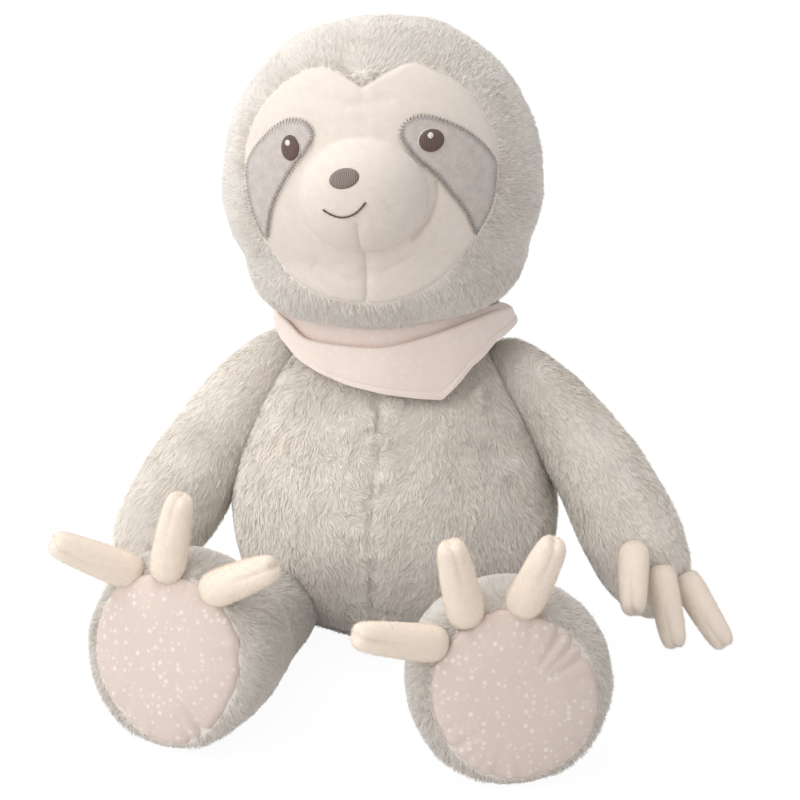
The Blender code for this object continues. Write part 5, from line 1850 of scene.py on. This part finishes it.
class SLOTH_OT_bandana(bpy.types.Operator):
    """Makes the bandana with its fold and its topstitched hem"""

    bl_idname = "sloth.bandana"
    bl_label = "Bandana"

    def execute(self, context):
        scene = context.scene
        body, cloth = scene.sloth_body, scene.sloth_cloth
        torso = smooth_form("torso_guide", torso_cage(body), 3)
        bed = tree_of(torso)
        bpy.data.objects.remove(torso, do_unlink=True)
        half_width = abs(PLACES["left_shoulder"].x) + cloth.bandana_spread
        steps, rows = 200, 44
        along = np.linspace(0.0, 1.0, rows)
        keys = (0.0, 0.38, 0.62, 0.76, 1.0)
        points = np.empty((steps, rows, 3))
        for step in range(steps):
            turn_deg = 360.0 * step / steps - 180.0
            turn = math.radians(turn_deg)
            *heights, reach_low, reach_crest, fold = bandana_shares_at(turn_deg)
            low, crest, high = (
                body.torso_height + (part - 1.0) * cloth.bandana_height for part in heights
            )
            # Behind, it lies on the nape
            behind = eased((abs(turn_deg) - 75.0) / 60.0)
            reach_low *= 1.0 - 0.09 * behind
            reach_crest *= 1.0 - 0.13 * behind
            low -= 0.0065 * behind
            crest -= 0.0055 * behind
            high -= 0.0045 * behind
            plain = crest + (high - crest) / 2
            valley = plain * (1.0 - fold) + crest * fold - fold * 0.0075
            depth = fold * 0.0044
            tucked = 0.0050 * (1.0 - fold) + 0.0035 * behind
            high -= 0.0070 * behind
            # Reach, how far the cloth stands past it, and height, from the low edge to the high one
            profile = (
                (reach_low, 0.0, low),
                (reach_low * 0.5 + reach_crest * 0.5, 0.0006 * fold, low * 0.5 + crest * 0.5),
                (reach_crest, 0.0004 * fold, crest),
                (reach_crest, -depth * 0.62 - 0.5 * tucked, valley),
                (reach_crest, -depth - tucked, high),
            )
            reach, extra, height = (np.interp(along, keys, part) for part in zip(*profile))
            aside, ahead = math.sin(turn), -math.cos(turn)
            points[step, :, 0] = reach * half_width * aside + aside * extra
            points[step, :, 1] = reach * cloth.bandana_half_depth * ahead + ahead * extra
            points[step, :, 2] = height
        # Rounded folds
        for _ in range(2):
            inner = points[:, 1:-1]
            points[:, 1:-1] = 0.5 * inner + 0.25 * (points[:, :-2] + points[:, 2:])
        # It never sinks into the body, but lies 1.2 mm off it
        for point in points.reshape(-1, 3):
            place = Vector(point)
            found, normal, _, _ = bed.find_nearest(place)
            short = 0.0012 - (place - found).dot(normal)
            if short > 0.0:
                point[:] = place + normal * short
        # Soft pulls in the cloth
        turns = np.linspace(-math.pi, math.pi, steps, endpoint=False)
        ripple = np.sin(turns * 9.0 + 1.0)[:, None] * np.sin(math.pi * along)[None, :] * 0.0005
        ripple += (np.sin(turns * 23.0)[:, None] * 0.00022) * (1.0 - along)[None, :] ** 2
        out = np.stack((np.sin(turns), -np.cos(turns), np.zeros(steps)), axis=1)
        points += out[:, None, :] * ripple[:, :, None]
        faces = [
            (here + row, there + row, there + row + 1, here + row + 1)
            for here, there in ((rows * step, rows * ((step + 1) % steps)) for step in range(steps))
            for row in range(rows - 1)
        ]
        mesh = mesh_of("bandana_cotton", points.reshape(-1, 3), faces)
        # The hem: an edge turned over for 3.6 mm, sunk where its stitches hold it
        width = np.linalg.norm(points[:, 1:] - points[:, :-1], axis=2).sum(axis=1)
        from_low = (along[None, :] * width[:, None]).ravel()
        hem = ramp((0.0036 - from_low) / 0.0006) * 0.0005 - 0.0004 * bell(from_low - 0.0040, 0.0007)
        set_points(mesh, points_of(mesh) + normals_of(mesh) * hem[:, None])
        # Painted shade in the groove where the hem's stitches sink the cloth
        store(mesh, "tuck_shade", 0.30 * bell(from_low - 0.0040, 0.0005))
        # Its cotton is the lighter copy: painted light
        piece = plain_object("bandana_cotton", mesh, cloths["bandana"])
        smooth = piece.modifiers.new("Smooth", "SUBSURF")
        smooth.levels = 1
        smooth.render_levels = 1
        thick = piece.modifiers.new("Thick", "SOLIDIFY")
        thick.thickness = cloth.bandana_thickness
        thick.offset = 1.0
        frozen(piece)
        dress(piece, "bandana", "torso")
        return {"FINISHED"}


class SLOTH_OT_stage(bpy.types.Operator):
    """Sets up the floor, the lamps and the camera"""

    bl_idname = "sloth.stage"
    bl_label = "Stage"

    def execute(self, context):
        scene = context.scene
        stage = scene.sloth_stage
        # The camera's own directions
        turn, rise = math.radians(stage.azimuth), math.radians(stage.elevation)
        right = Vector((math.cos(turn), math.sin(turn), 0.0))
        back = Vector(
            (math.sin(turn) * math.cos(rise), -math.cos(turn) * math.cos(rise), math.sin(rise))
        )
        up = back.cross(right)
        lens = bpy.data.cameras.new("camera")
        lens.lens = stage.lens
        lens.clip_start = 0.05
        camera = bpy.data.objects.new("camera", lens)
        scene.collection.objects.link(camera)
        place = Vector(CAMERA_TARGET) + back * stage.distance
        camera.matrix_world = (
            Matrix.Translation(place) @ Matrix((right, up, back)).transposed().to_4x4()
        )
        scene.camera = camera

        shape = bmesh.new()
        bmesh.ops.create_grid(shape, x_segments=1, y_segments=1, size=3.0)
        mesh = bpy.data.meshes.new("floor")
        shape.to_mesh(mesh)
        shape.free()
        floor = plain_object("floor", mesh, plain_stage_material("matt_white_paper", 0.80))

        # Large square lamps: place and side in metres, and watts
        for name, place, size, power in (
            ("key_lamp", (-1.10, -1.05, 1.10), 1.8, stage.key_power),
            ("fill_lamp", (1.25, -0.75, 0.85), 1.2, stage.fill_power),
            ("top_lamp", (-0.40, 0.15, 1.5), 1.2, 7.4 * stage.fill_power),
        ):
            light = bpy.data.lights.new(name, "AREA")
            light.shape = "SQUARE"
            light.size = size
            light.energy = power
            lamp = bpy.data.objects.new(name, light)
            scene.collection.objects.link(lamp)
            lamp.location = place
            aim = Vector(LAMP_TARGET) - Vector(place)
            lamp.rotation_euler = aim.to_track_quat("-Z", "Y").to_euler()

        world = bpy.data.worlds.new("studio")
        world.use_nodes = True
        tree = world.node_tree
        backdrop = tree.nodes["Background"]
        # Only the camera sees white, and the toy is lit by less
        lit = {"Value": looked_at(tree), "To Min": stage.world_strength, "To Max": 1.0}
        lit = add_node(tree, "ShaderNodeMapRange", lit, "Result")
        backdrop.inputs["Color"].default_value = (1.0, 1.0, 1.0, 1.0)
        tree.links.new(lit, backdrop.inputs["Strength"])
        scene.world = world
        scene.view_settings.view_transform = "Standard"
        return {"FINISHED"}


class SLOTH_PT_panel(bpy.types.Panel):
    """Lists the sloth's pieces"""

    bl_idname = "SLOTH_PT_panel"
    bl_label = "Plush Sloth"
    bl_space_type = "VIEW_3D"
    bl_region_type = "UI"
    bl_category = "Plush Sloth"

    def draw(self, context):
        for kind in OPERATORS:
            self.layout.operator(kind.bl_idname)
        for group in GROUPS:
            settings = getattr(context.scene, group)
            for key in settings.__annotations__:
                self.layout.prop(settings, key)


GROUPS = {
    "sloth_body": SlothBodySizes,
    "sloth_pile": SlothPileSizes,
    "sloth_face": SlothFaceSizes,
    "sloth_cloth": SlothClothSizes,
    "sloth_stage": SlothStageSizes,
}
OPERATORS = (
    SLOTH_OT_torso,
    SLOTH_OT_head,
    SLOTH_OT_face,
    SLOTH_OT_arms,
    SLOTH_OT_legs,
    SLOTH_OT_claws,
    SLOTH_OT_bandana,
    SLOTH_OT_stage,
)


def register():
    """Adds the add-on's classes and its settings."""
    for kind in (*GROUPS.values(), *OPERATORS, SLOTH_PT_panel):
        bpy.utils.register_class(kind)
    for name, kind in GROUPS.items():
        setattr(bpy.types.Scene, name, bpy.props.PointerProperty(type=kind))


def unregister():
    """Takes them away again."""
    for name in GROUPS:
        delattr(bpy.types.Scene, name)
    for kind in reversed((*GROUPS.values(), *OPERATORS, SLOTH_PT_panel)):
        bpy.utils.unregister_class(kind)


def main():
    """Makes every piece and the stage."""
    register()
    make_cloths(bpy.context.scene)
    bpy.ops.sloth.torso()
    bpy.ops.sloth.head()
    bpy.ops.sloth.face()
    bpy.ops.sloth.arms()
    bpy.ops.sloth.legs()
    bpy.ops.sloth.claws()
    bpy.ops.sloth.bandana()
    bpy.ops.sloth.stage()


if __name__ == "__main__":
    main()
